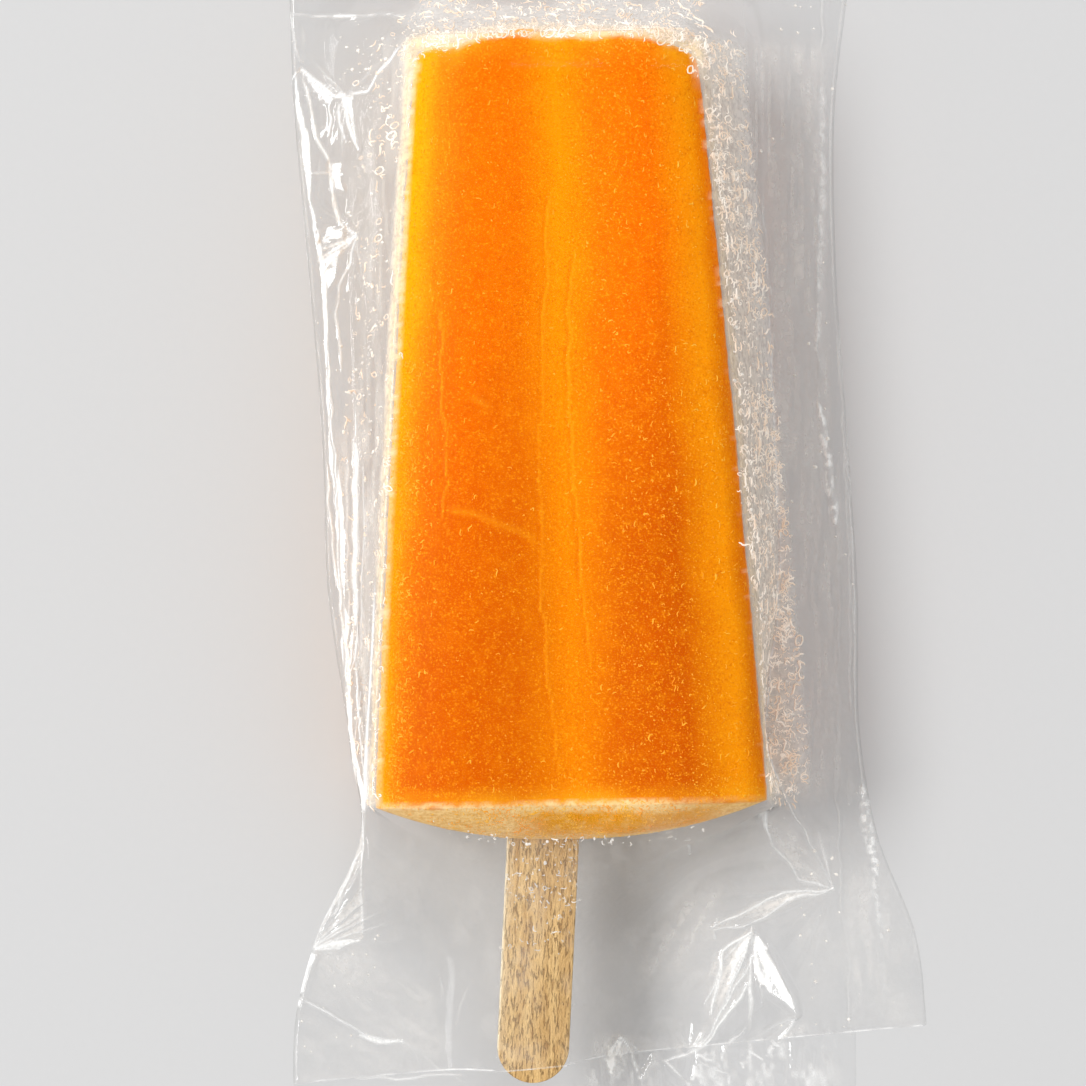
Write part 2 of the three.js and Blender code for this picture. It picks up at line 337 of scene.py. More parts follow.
class NodeBench:
    """Places and joins the nodes of one tree."""

    def __init__(self, tree: NodeTree) -> None:
        """Starts with a tree.

        Args:
            tree: The tree to fill.
        """
        self.tree = tree

    def node(self, kind: str, **settings: object) -> Node:
        """Adds a node.

        Args:
            kind: The node's type name.
            settings: Properties to set on it.

        Returns:
            The new node.
        """
        made = self.tree.nodes.new(kind)
        for key, value in settings.items():
            setattr(made, key, value)
        return made

    def join(self, source: Socket, target: Socket) -> None:
        """Links two sockets."""
        self.tree.links.new(source, target)

    def feed(self, target: Socket, value: object) -> None:
        """Links a socket, or sets a plain value on the target.

        Args:
            target: The input to fill.
            value: A socket, a number, a colour or a vector.
        """
        if isinstance(value, Socket):
            self.join(value, target)
        elif isinstance(value, tuple) and len(value) == 3 and target.type == "RGBA":
            target.default_value = (*value, 1.0)
        else:
            target.default_value = value

    def maths(self, operation: str, *operands: object, clamp: bool = False) -> Socket:
        """Adds a sum, product or other operation.

        Args:
            operation: Blender's name of it.
            operands: Sockets or numbers.
            clamp: Whether the result stays from 0 to 1.

        Returns:
            The result's socket.
        """
        made = self.node("ShaderNodeMath", operation=operation, use_clamp=clamp)
        for target, operand in zip(made.inputs, operands):
            self.feed(target, operand)
        return made.outputs[0]

    def coords(self) -> Socket:
        """Object coordinates, in metres."""
        return self.node("ShaderNodeTexCoord").outputs["Object"]

    def attribute(self, name: str) -> Socket:
        """The mesh's own value of that name."""
        return self.node("ShaderNodeAttribute", attribute_name=name).outputs["Fac"]

    def filled(self, kind: str, values: dict[str, object]) -> Socket:
        """Adds a node and fills its inputs.

        Args:
            kind: The node's type name.
            values: A socket or a plain value for each input that is filled, by its name.

        Returns:
            The node's first output.
        """
        made = self.node(kind)
        for name, value in values.items():
            self.feed(made.inputs[name], value)
        return made.outputs[0]

    def scaled(self, vector: Socket, factors: tuple[float, float, float]) -> Socket:
        """A position scaled by a factor for each axis."""
        return self.filled("ShaderNodeMapping", {"Vector": vector, "Scale": factors})

    def bump(self, height: Socket, strength: float, distance: float) -> Socket:
        """Turns relief into normals.

        Args:
            height: The relief.
            strength: How much of it shows.
            distance: Its depth in metres.

        Returns:
            The normal's socket.
        """
        return self.filled("ShaderNodeBump", {"Height": height, "Strength": strength, "Distance": distance})

    def blend(
        self, share: object, first: Socket, second: Socket
    ) -> Socket:
        """Mixes two shaders, share being how much of the second there is."""
        made = self.node("ShaderNodeMixShader")
        for target, value in zip(made.inputs, (share, first, second)):
            self.feed(target, value)
        return made.outputs[0]

    def mix(self, share: object, first: object, second: object) -> Socket:
        """Mixes two colours.

        Args:
            share: How much of the second there is.
            first: First colour.
            second: Second colour.

        Returns:
            The mixed colour's socket.
        """
        made = self.node("ShaderNodeMix", data_type="RGBA")
        self.feed(made.inputs[0], share)
        self.feed(made.inputs[6], first)
        self.feed(made.inputs[7], second)
        return made.outputs[2]

    def ramp(self, value: Socket, stops: list[tuple[float, float]]) -> Socket:
        """Reads a value through a curve of straight stretches.

        Args:
            value: The value to read.
            stops: Positions from 0 to 1, each with its brightness.

        Returns:
            The result's socket.
        """
        made = self.node("ShaderNodeValToRGB")
        elements = made.color_ramp.elements
        while len(elements) > 1:
            elements.remove(elements[-1])
        elements[0].position, first = stops[0]
        elements[0].color = (first, first, first, 1.0)
        for position, level in stops[1:]:
            elements.new(position).color = (level, level, level, 1.0)
        self.join(value, made.inputs[0])
        return made.outputs[0]

    def noise(
        self, vector: Socket, scale: float, detail: float = 2.0, rough: float = 0.5
    ) -> Socket:
        """Adds smooth noise over a position.

        Args:
            vector: The position.
            scale: Cells to a unit.
            detail: Number of finer layers.
            rough: How strong they are.

        Returns:
            The noise value's socket.
        """
        values = {"Vector": vector, "Scale": scale, "Detail": detail, "Roughness": rough}
        return self.filled("ShaderNodeTexNoise", values)

    def range(
        self, value: Socket, low: float, high: float, to_low: float = 0.0, to_high: float = 1.0
    ) -> Socket:
        """Maps one span of values to another, without going past its ends.

        Args:
            value: The value to map.
            low: Start of its span.
            high: End of its span.
            to_low: Result at the start.
            to_high: Result at the end.

        Returns:
            The result's socket.
        """
        made = self.node("ShaderNodeMapRange", interpolation_type="SMOOTHSTEP")
        self.join(value, made.inputs[0])
        for index, number in enumerate((low, high, to_low, to_high), start=1):
            made.inputs[index].default_value = number
        return made.outputs[0]


class SpeckleGroup:
    """A shader group that puts out small irregular flecks and the relief that goes with them."""

    name = "frost_speckle"
    warp_reach = 0.0007
    grain_share = 0.5

    def build(self) -> NodeTree:
        """Makes the group, or finds it.

        Returns:
            The node group, with Vector, Size and Cover in, and Fleck and Height out.
        """
        if self.name in bpy.data.node_groups:
            return bpy.data.node_groups[self.name]
        group = bpy.data.node_groups.new(self.name, "ShaderNodeTree")
        face = group.interface
        face.new_socket("Vector", in_out="INPUT", socket_type="NodeSocketVector")
        for label, start in (("Size", 1500.0), ("Cover", 0.3)):
            face.new_socket(label, in_out="INPUT", socket_type="NodeSocketFloat").default_value = start
        for label in ("Fleck", "Height"):
            face.new_socket(label, in_out="OUTPUT", socket_type="NodeSocketFloat")
        bench = NodeBench(group)
        source = bench.node("NodeGroupInput")
        result = bench.node("NodeGroupOutput")
        warp = bench.node("ShaderNodeTexNoise")
        bench.join(source.outputs["Vector"], warp.inputs["Vector"])
        bench.join(source.outputs["Size"], warp.inputs["Scale"])
        shift = bench.node("ShaderNodeVectorMath", operation="MULTIPLY_ADD")
        bench.join(warp.outputs["Color"], shift.inputs[0])
        shift.inputs[1].default_value = (self.warp_reach,) * 3
        bench.join(source.outputs["Vector"], shift.inputs[2])
        cells = bench.node("ShaderNodeTexVoronoi", feature="F1")
        bench.join(shift.outputs[0], cells.inputs["Vector"])
        bench.join(source.outputs["Size"], cells.inputs["Scale"])
        pick = bench.node("ShaderNodeSeparateColor")
        bench.join(cells.outputs["Color"], pick.inputs[0])
        chosen = bench.maths("LESS_THAN", pick.outputs[0], source.outputs["Cover"])
        round_fleck = bench.range(cells.outputs["Distance"], 0.42, 0.12)
        fleck = bench.maths("MULTIPLY", chosen, round_fleck)
        bench.join(fleck, result.inputs["Fleck"])
        grain = bench.maths("MULTIPLY", warp.outputs["Fac"], self.grain_share)
        bench.join(bench.maths("ADD", fleck, grain), result.inputs["Height"])
        return group

    def place(
        self, bench: NodeBench, vector: Socket, size: float, cover: Socket
    ) -> Node:
        """Puts the group in a material.

        Args:
            bench: The material's bench.
            vector: Position to read.
            size: Cells to a metre.
            cover: Share of cells that hold a fleck.

        Returns:
            The group's node.
        """
        made = bench.node("ShaderNodeGroup", node_tree=self.build())
        bench.join(vector, made.inputs["Vector"])
        made.inputs["Size"].default_value = size
        bench.join(cover, made.inputs["Cover"])
        return made


class Finish:
    """A finish. Each kind says what its surface is made of."""

    name = "finish"

    def surface(self, bench: NodeBench) -> Socket:
        """Makes the shader.

        Args:
            bench: The material's bench.

        Returns:
            The shader's socket.
        """
        raise NotImplementedError

    def build(self) -> Material:
        """Makes the material.

        Returns:
            The material, which reads Object coordinates and the piece's own attributes.
        """
        material = bpy.data.materials.new(self.name)
        material.use_nodes = True
        material.node_tree.nodes.clear()
        bench = NodeBench(material.node_tree)
        bench.join(self.surface(bench), bench.node("ShaderNodeOutputMaterial").inputs["Surface"])
        return material


@dataclass(frozen=True)
class IceFinish(Finish):
    """Frozen orange juice: deep lobes, a lighter groove and edges, painted light on the left edge, painted
    highlights and shade along wet lines, and frost at its rims.
    """

    name: str = "orange_ice"
    lobe: Colour = linear((246, 110, 2))
    lobe_rim_end: Colour = linear((202, 83, 1))
    groove: Colour = linear((252, 152, 4))
    groove_rim_end: Colour = linear((242, 134, 4))
    # painted light: the left edge, which faces the key light, is drawn paler and yellower
    lit_left_edge: Colour = linear((253, 168, 4))
    lit_left_edge_rim_end: Colour = linear((253, 150, 3))
    right_edge: Colour = linear((255, 156, 5))
    frost: Colour = linear((246, 212, 150))
    fleck: Colour = linear((255, 182, 34))
    shade: Colour = linear((214, 84, 2))
    dome: Colour = linear((246, 206, 138))
    dome_grain: Colour = linear((226, 172, 94))
    lens: Colour = linear((228, 152, 10))
    roughness: float = 0.38
    ice_index: float = 1.31
    gloss: float = 0.05
    relief_share: float = 0.45
    relief_depth: float = 0.00016

    def surface(self, bench: NodeBench) -> Socket:
        """Makes the shader.

        Args:
            bench: The material's bench.

        Returns:
            The shader's socket.
        """
        coords = bench.coords()
        small = SpeckleGroup().place(bench, coords, 3600.0, self.cover(bench, 0.40))
        large = SpeckleGroup().place(bench, coords, 1900.0, self.cover(bench, 0.12))
        flecks = bench.maths("MAXIMUM", small.outputs["Fleck"], large.outputs["Fleck"])
        body = self.grained(bench, coords, self.lobes(bench, coords))
        body = bench.mix(bench.maths("MULTIPLY", flecks, 0.5), body, self.fleck)
        body = bench.mix(bench.attribute("dome"), body, self.rim_end(bench, coords))
        cloud = bench.range(bench.noise(coords, 1700.0, 4.0, 0.78), 0.34, 0.56, 0.25, 1.0)
        body = bench.mix(bench.maths("MULTIPLY", bench.attribute("frost"), cloud), body, self.frost)
        relief = bench.maths("ADD", small.outputs["Height"], bench.noise(coords, 1500.0, 4.0, 0.7))
        return bench.filled("ShaderNodeBsdfPrincipled", {
            "Base Color": body,
            "Normal": bench.bump(relief, self.relief_share, self.relief_depth),
            "Roughness": self.roughness,
            "IOR": self.ice_index,
            "Specular IOR Level": self.gloss,
        })

    @staticmethod
    def cover(bench: NodeBench, share: float) -> Socket:
        """How many cells hold a fleck, by the mesh's own value and a share."""
        return bench.maths("MULTIPLY", bench.attribute("fleck"), share)

    def lobes(self, bench: NodeBench, coords: Socket) -> Socket:
        """The smooth colour: deep lobes, a light groove and light sides, all deeper towards the rim. The left
        side is paler still, with painted light where it faces the key light.

        Args:
            bench: The material's bench.
            coords: The position.

        Returns:
            The colour's socket.
        """
        wander = bench.noise(coords, 60.0, 3.0)
        wander = bench.maths("MULTIPLY_ADD", wander, 0.16, -0.08)
        across = bench.maths("ADD", bench.attribute("across"), wander)
        along = bench.attribute("along")
        side = bench.maths("ABSOLUTE", across)
        is_right = bench.range(across, -0.1, 0.1)
        groove = bench.ramp(side, [(0.0, 0.85), (0.10, 0.62), (0.26, 0.12), (0.5, 0.0), (0.7, 0.0)])
        left_far = bench.ramp(side, [(0.0, 0.0), (0.66, 0.0), (0.80, 0.30), (0.89, 0.88), (0.95, 1.0)])
        left_near = bench.ramp(side, [(0.0, 0.0), (0.78, 0.0), (0.87, 0.25), (0.93, 0.75), (0.97, 1.0)])
        right = bench.ramp(side, [(0.0, 0.0), (0.62, 0.0), (0.80, 0.70), (0.88, 0.9), (0.97, 0.45)])
        toward_rim = bench.range(along, 0.88, 0.14)
        left = bench.mix(toward_rim, left_far, left_near)
        deepened = bench.maths("MULTIPLY", toward_rim, bench.range(across, -0.4, 0.4, 0.8, 1.2), clamp=True)
        deep = bench.mix(deepened, self.lobe, self.lobe_rim_end)
        body = bench.mix(groove, deep, bench.mix(toward_rim, self.groove, self.groove_rim_end))
        # painted light on the left side, which faces the key light
        lit_left_side = bench.mix(bench.range(along, 0.85, 0.30), self.lit_left_edge, self.lit_left_edge_rim_end)
        on_left = bench.maths("MULTIPLY", left, bench.maths("SUBTRACT", 1.0, is_right))
        on_right = bench.maths("MULTIPLY", right, is_right)
        return bench.mix(on_right, bench.mix(on_left, body, lit_left_side), self.right_edge)

    def grained(
        self, bench: NodeBench, coords: Socket, body: Socket
    ) -> Socket:
        """Adds light and dark grain, from clouds down to single grains, and the wet lines' painted highlights
        with painted shade in their lee.

        Args:
            bench: The material's bench.
            coords: The position.
            body: The smooth colour.

        Returns:
            The grained colour's socket.
        """
        mottle = bench.range(bench.noise(coords, 420.0, 4.0, 0.62), 0.40, 0.74)
        dark = bench.range(bench.noise(coords, 300.0, 5.0, 0.66), 0.50, 0.72)
        grain = bench.noise(coords, 2300.0, 4.0, 0.7)
        fine = bench.noise(coords, 4600.0, 2.0, 0.6)
        wet = bench.attribute("wet_light_and_shade")
        for share, colour in (
            (bench.maths("MULTIPLY", mottle, 0.16), self.groove),
            (bench.maths("MULTIPLY", dark, 0.22), self.shade),
            (bench.range(grain, 0.52, 0.70, 0.0, 0.42), self.fleck),
            (bench.range(grain, 0.46, 0.30, 0.0, 0.46), self.shade),
            (bench.range(fine, 0.54, 0.74, 0.0, 0.40), self.fleck),
            (bench.range(fine, 0.46, 0.28, 0.0, 0.36), self.shade),
            # painted highlights along the wet lines and at the lit ends, and painted shade in the lines' lee
            (bench.maths("MAXIMUM", wet, 0.0), self.fleck),
            (bench.maths("MAXIMUM", bench.maths("MULTIPLY", wet, -1.3), 0.0), self.shade),
        ):
            body = bench.mix(share, body, colour)
        return body

    def rim_end(self, bench: NodeBench, coords: Socket) -> Socket:
        """The frosted rim end, with its clearer patch.

        Args:
            bench: The material's bench.
            coords: The position.

        Returns:
            The colour's socket.
        """
        streaks = bench.noise(bench.scaled(coords, (1.0, 1.5, 1.0)), 1500.0, 5.0, 0.78)
        frosted = bench.mix(bench.range(streaks, 0.40, 0.60), self.dome, self.dome_grain)
        clouded = bench.range(bench.noise(coords, 700.0, 4.0, 0.7), 0.34, 0.54, 0.55, 1.0)
        return bench.mix(bench.maths("MULTIPLY", bench.attribute("lens"), clouded), frosted, self.lens)


@dataclass(frozen=True)
class CrystalFinish(Finish):
    """Small ice crystals that catch the light."""

    name: str = "frost_crystal"
    body: Colour = linear((255, 198, 62))
    deep: Colour = linear((255, 162, 14))
    roughness: float = 0.3
    ice_index: float = 1.31

    def surface(self, bench: NodeBench) -> Socket:
        """Makes the shader.

        Args:
            bench: The material's bench.

        Returns:
            The shader's socket.
        """
        tone = bench.range(bench.noise(bench.coords(), 260.0, 1.0), 0.3, 0.7)
        return bench.filled("ShaderNodeBsdfPrincipled", {
            "Base Color": bench.mix(tone, self.body, self.deep),
            "Roughness": self.roughness,
            "IOR": self.ice_index,
        })


@dataclass(frozen=True)
class WoodFinish(Finish):
    """Plain sawn hardwood with short dark pores along the stick, and a painted highlight along its left edge.
    """

    name: str = "stick_wood"
    face: Colour = linear((202, 160, 98))
    pale: Colour = linear((228, 189, 126))
    lit: Colour = linear((250, 232, 196))
    pore: Colour = linear((152, 104, 48))
    lean: float = math.radians(2.7)
    relief_depth: float = 0.00034

    def surface(self, bench: NodeBench) -> Socket:
        """Makes the shader.

        Args:
            bench: The material's bench.

        Returns:
            The shader's socket.
        """
        turned = {"Vector": bench.coords(), "Rotation": (0.0, 0.0, self.lean)}
        along = bench.filled("ShaderNodeMapping", turned)

        def streaks(width: float, length: float, detail: float, rough: float) -> Socket:
            """Noise whose cells are that wide and long, in metres."""
            scaled = bench.scaled(along, (1.0 / width, 1.0 / length, 1.0 / width))
            return bench.noise(scaled, 1.0, detail, rough)

        bands = streaks(0.0018, 0.02, 3.0, 0.55)
        fibres = streaks(0.00036, 0.0022, 4.0, 0.74)
        dashes = streaks(0.00027, 0.0017, 3.0, 0.65)
        waves = streaks(0.0005, 0.0012, 3.0, 0.65)
        pores = bench.range(dashes, 0.54, 0.64)
        tone = bench.mix(bench.range(bands, 0.35, 0.65), self.face, self.pale)
        tone = bench.mix(bench.range(fibres, 0.46, 0.28, 0.0, 0.75), tone, self.pale)
        tone = bench.mix(bench.range(fibres, 0.52, 0.72, 0.0, 0.62), tone, self.pore)
        tone = bench.mix(bench.maths("MULTIPLY", pores, 0.58), tone, self.pore)
        # painted highlight: the stick's left edge, which faces the key light, takes the pale lit colour
        tone = bench.mix(bench.attribute("rim"), tone, self.lit)
        raised = bench.maths("ADD", fibres, waves)
        height = bench.maths("SUBTRACT", raised, bench.maths("MULTIPLY", pores, 0.9))
        return bench.filled("ShaderNodeBsdfPrincipled", {
            "Base Color": tone,
            "Normal": bench.bump(height, 1.0, self.relief_depth),
            "Roughness": bench.range(fibres, 0.3, 0.7, 0.55, 0.75),
        })


@dataclass(frozen=True)
class FilmFinish(Finish):
    """Thin clear film that mirrors the lights, whitened at its creases, with painted highlights on its
    creases and facets, and frosted where it mists over.
    """

    name: str = "clear_film"
    mirror_index: float = 1.62
    roughness: float = 0.05
    mist: Colour = linear((233, 229, 224))
    # painted light: mist tinted by orange light that the ice throws on it
    ice_glow_mist: Colour = linear((244, 216, 170))
    # white of whitened creases and of painted highlights on creases and facets
    crease: Colour = linear((250, 250, 248))
    clear_pass: float = 0.976
    fold_pass: float = 0.92
    crinkle: float = 0.16
    shadow_pass: float = 0.985
    crinkle_depth: float = 0.0004
    contact_loss: float = 0.95

    def surface(self, bench: NodeBench) -> Socket:
        """Makes the shader.

        Args:
            bench: The material's bench.

        Returns:
            The shader's socket.
        """
        coords = bench.coords()
        clouded = bench.blend(self.cloudiness(bench, coords), self.sheet(bench, coords), self.veil(bench))
        passed = bench.filled("ShaderNodeBsdfTransparent", {"Color": (self.shadow_pass,) * 3})
        path = bench.node("ShaderNodeLightPath")
        secondary = bench.maths("MAXIMUM", path.outputs["Is Shadow Ray"], path.outputs["Is Diffuse Ray"])
        return bench.blend(secondary, clouded, passed)

    def sheet(self, bench: NodeBench, coords: Socket) -> Socket:
        """The clear film, which mirrors less where it lies on what it covers.

        Args:
            bench: The material's bench.
            coords: The position.

        Returns:
            The shader's socket.
        """
        wide = bench.noise(coords, 240.0, 3.0, 0.55)
        fine = bench.noise(coords, 1300.0, 2.0, 0.5)
        height = bench.maths("ADD", wide, bench.maths("MULTIPLY", fine, 0.22))
        normal = bench.bump(height, self.crinkle, self.crinkle_depth)
        passed = bench.mix(bench.attribute("edge"), (self.clear_pass,) * 3, (self.fold_pass,) * 3)
        clear = bench.filled("ShaderNodeBsdfTransparent", {"Color": passed})
        mirror = bench.filled("ShaderNodeBsdfGlossy", {"Roughness": self.roughness, "Normal": normal})
        behind = bench.node("ShaderNodeNewGeometry").outputs["Backfacing"]
        turned = 1.0 / self.mirror_index - self.mirror_index
        index = bench.maths("MULTIPLY_ADD", behind, turned, self.mirror_index)
        fresnel = bench.filled("ShaderNodeFresnel", {"IOR": index, "Normal": normal})
        apart = bench.maths("MULTIPLY_ADD", bench.attribute("contact"), -self.contact_loss, 1.0)
        return bench.blend(bench.maths("MULTIPLY", fresnel, apart), clear, mirror)

    def veil(self, bench: NodeBench) -> Socket:
        """What mist, with its painted orange light from the ice, and whitened creases with their painted
        highlights look like where they are thick.
        """
        # painted light: near the ice the mist takes the orange of light thrown from the ice
        hazed = bench.mix(bench.attribute("ice_glow"), self.mist, self.ice_glow_mist)
        creased = bench.range(bench.attribute("gleam"), 0.0, 0.4)
        return bench.filled("ShaderNodeBsdfDiffuse", {"Color": bench.mix(creased, hazed, self.crease)})

    def cloudiness(self, bench: NodeBench, coords: Socket) -> Socket:
        """How thick mist, whitening and painted highlights are, broken up by cloud and fibres.

        Args:
            bench: The material's bench.
            coords: The position.

        Returns:
            The value's socket.
        """
        cloud = bench.range(bench.noise(coords, 900.0, 3.0, 0.65), 0.30, 0.62, 0.55, 1.0)
        fibrous = bench.range(bench.noise(coords, 2200.0, 3.0, 0.7), 0.30, 0.60, 0.62, 1.0)
        misted = bench.maths("MULTIPLY", bench.attribute("mist"), cloud)
        whitened = bench.maths("MULTIPLY", bench.attribute("gleam"), fibrous)
        return bench.maths("MAXIMUM", misted, whitened, clamp=True)


@dataclass(frozen=True)
class DewFinish(Finish):
    """Condensation in pale lines, with a painted glow that keeps them bright in shade though they are no
    lamp.
    """

    body: Colour = linear((252, 243, 232))
    warm: Colour = linear((240, 216, 192))
    # painted light: a small emission that keeps the dew bright in the ice's shadow
    glow: float = 0.10
    clear: float = 0.12
    name: str = "condensation"
    roughness: float = 0.22
    water_index: float = 1.33

    def surface(self, bench: NodeBench) -> Socket:
        """Makes the shader.

        Args:
            bench: The material's bench.

        Returns:
            The shader's socket.
        """
        tone = bench.range(bench.noise(bench.coords(), 420.0, 2.0), 0.35, 0.65)
        skin = bench.filled("ShaderNodeBsdfPrincipled", {
            "Base Color": bench.mix(tone, self.body, self.warm),
            "Roughness": self.roughness,
            "IOR": self.water_index,
            # painted light: the dew glows a little
            "Emission Color": self.body,
            "Emission Strength": self.glow,
        })
        through = bench.filled("ShaderNodeBsdfTransparent", {})
        return bench.blend(self.clear, skin, through)


@dataclass(frozen=True)
class FloorFinish(Finish):
    """A plain pale matt surface."""

    name: str = "pale_floor"
    shade: Colour = (0.57, 0.57, 0.572)
    mottle: float = 0.992
    roughness: float = 0.9
    gloss: float = 0.1

    def surface(self, bench: NodeBench) -> Socket:
        """Makes the shader.

        Args:
            bench: The material's bench.

        Returns:
            The shader's socket.
        """
        tone = bench.range(bench.noise(bench.coords(), 900.0, 2.0), 0.2, 0.8)
        darker = tuple(self.mottle * level for level in self.shade)
        return bench.filled("ShaderNodeBsdfPrincipled", {
            "Base Color": bench.mix(tone, self.shade, darker),
            "Roughness": self.roughness,
            "Specular IOR Level": self.gloss,
        })


# ---------------------------------------------------------------------------------------------
# Ice
# ---------------------------------------------------------------------------------------------


@dataclass
class IceBar:
    """The moulded ice, with two lobes on each face, a rounded tip and the swollen rim end."""

    length: float = 106.3
    thickness: float = 20.5
    rim_width: float = 54.2
    tip_width: float = 38.8
    belly: float = 0.25
    shift_x: float = 0.2
    lean: float = math.radians(1.2)
    squareness: float = 6.0
    groove_depth: float = 1.3
    edge_drop: float = 1.6
    tip_rounding: float = 2.2
    tip_corner_drop: float = 0.9
    tip_corner_power: float = 7.0
    tip_left_step: float = 0.9
    tip_right_slope: float = 1.5
    tip_wave: float = 0.28
    tip_run: float = 16.0
    dome_bulge: float = 5.1
    dome_power: float = 2.2
    middle_z: float = 10.95
    step: float = 0.5
    dome_rings: int = 26
    rounding_rings: int = 9
    tip_rings: int = 12
    top_steps: int = 140
    under_steps: int = 50
    side_steps: int = 9
    corner_u: float = 0.97
    wet_rise: float = 0.08
    wet_lines: list[list[Point]] = field(
        default_factory=lambda: [
            [(-2.6, 84.0), (-3.4, 76.0), (-3.9, 60.0), (-4.2, 42.0), (-3.6, 24.0), (-1.7, 5.0)],
            [(0.4, 76.0), (-0.1, 69.0), (-0.4, 58.0), (0.0, 51.0), (0.8, 42.0), (2.1, 28.0), (2.4, 20.0)],
            [(-18.1, 67.5), (-17.5, 63.0), (-17.6, 56.0), (-17.1, 48.0), (-17.4, 40.5), (-17.0, 37.0)],
            [(7.4, 38.7), (10.0, 38.2), (12.2, 38.6)],
        ]
    )
    smears: list[list[Point]] = field(
        default_factory=lambda: [
            [(-15.8, 40.2), (-13.2, 39.9), (-10.2, 38.6), (-7.2, 37.6), (-5.2, 36.6)],
            [(-13.4, 55.6), (-11.4, 54.8)],
        ]
    )

    def half_width(self, y: Array) -> Array:
        """Half of the ice's width at y."""
        share = np.clip(np.asarray(y) / self.length, 0.0, 1.0)
        return lerp(self.rim_width, self.tip_width, share) / 2 + self.belly * np.sin(np.pi * share)

    def lobe_dip(self, u: Array) -> Array:
        """How far a face lies under its lobes' crests, u being -1 to 1 across it."""
        depth = np.where(np.abs(u) < 0.5, self.groove_depth, self.edge_drop)
        return depth * np.cos(np.pi * u) ** 2

    def section(self) -> tuple[Array, Array]:
        """Samples the section once round, from +X over the top.

        Returns:
            u and the signed share of the full height for each sample.
        """
        corner_w = (1 - self.corner_u**self.squareness) ** (1 / self.squareness)
        side_w = np.linspace(0.0, corner_w, self.side_steps, endpoint=False)
        side_u = (1 - side_w**self.squareness) ** (1 / self.squareness)

        def half(steps: int) -> tuple[Array, Array]:
            """One face from its right side to its left, without the last sample."""
            face = np.linspace(self.corner_u, -self.corner_u, steps)
            face_w = (1 - np.abs(face) ** self.squareness) ** (1 / self.squareness)
            u = np.concatenate([side_u, face, -side_u[:0:-1]])
            w = np.concatenate([side_w, face_w, side_w[:0:-1]])
            return u, w

        top_u, top_w = half(self.top_steps)
        under_u, under_w = half(self.under_steps)
        return np.concatenate([top_u, -under_u]), np.concatenate([top_w, -under_w])

    def ring(self, y: float, inset: float = 0.0) -> Array:
        """One ring of vertices at y in the ice's own axes.

        Args:
            y: Distance from the rim.
            inset: How far the ring is drawn in.

        Returns:
            The ring's points.
        """
        u, w = self.section()
        half = self.half_width(y) - inset
        near_tip = float(ease(y, self.length - self.tip_run, self.length))
        height = self.thickness / 2 - inset - self.lobe_dip(u)
        return np.stack([half * u, y - near_tip * self.set_back(u), height * w], axis=-1)

    def set_back(self, u: Array) -> Array:
        """How far the tip's edge lies behind its middle, u being -1 to 1 across the ice."""
        behind = self.tip_corner_drop * np.abs(u) ** self.tip_corner_power + self.tip_wave * np.sin(7 * u)
        behind = behind + self.tip_left_step * ease(-u, 0.50, 0.72)
        return behind + self.tip_right_slope * ease(u, 0.30, 0.95)

    def own_plan(self, x: Array, y: Array) -> tuple[Array, Array]:
        """Turns the layout's X and Y to the ice's own axes."""
        cos, sin = math.cos(self.lean), math.sin(self.lean)
        return (x - self.shift_x) * cos + y * sin, y * cos - (x - self.shift_x) * sin

    def outside(self, x: Array, y: Array) -> Array:
        """How far points of the layout's plan lie outside the ice's outline, and less than 0 inside.

        Args:
            x: X of the points.
            y: Y of the points.

        Returns:
            The distances, without the rim end.
        """
        own_x, own_y = self.own_plan(x, y)
        half = self.half_width(own_y)
        beside = np.abs(own_x) - half
        past = own_y - self.length + self.set_back(np.clip(own_x / half, -1.0, 1.0))
        return np.where((beside > 0) & (past > 0), np.hypot(beside, past), np.maximum(beside, past))

    def rings(self) -> tuple[Array, Array]:
        """All rings from the dome's middle to the tip's middle.

        Returns:
            Points as rings by samples by 3, and for each ring whether it is part of the dome.
        """
        rim = self.ring(0.0)
        made = []
        for share in np.sin(np.linspace(0.02, 1.0, self.dome_rings, endpoint=False) * np.pi / 2):
            swell = -self.dome_bulge * (1 - share**self.dome_power)
            made.append(np.stack([rim[:, 0] * share, np.full(len(rim), swell), rim[:, 2] * share], axis=-1))
        straight = self.length - self.tip_rounding
        made += [self.ring(float(y)) for y in np.arange(0.0, straight, self.step)]
        for angle in np.linspace(0.0, np.pi / 2, self.rounding_rings):
            inset = self.tip_rounding * (1 - math.cos(angle))
            made.append(self.ring(straight + self.tip_rounding * math.sin(angle), inset))
        last = made[-1]
        for share in np.linspace(0.9, 0.02, self.tip_rings):
            flat = last * np.array([share, 1.0, share])
            flat[:, 1] = lerp(self.length, last[:, 1], share**2)
            made.append(flat)
        return np.array(made), np.arange(len(made)) < self.dome_rings

    def place(self, points: Array) -> Array:
        """Turns points from the ice's own axes to the layout's.

        Args:
            points: Points to turn.

        Returns:
            The turned points.
        """
        cos, sin = math.cos(self.lean), math.sin(self.lean)
        x, y, z = points[..., 0], points[..., 1], points[..., 2]
        return np.stack([x * cos - y * sin + self.shift_x, x * sin + y * cos, z + self.middle_z], axis=-1)

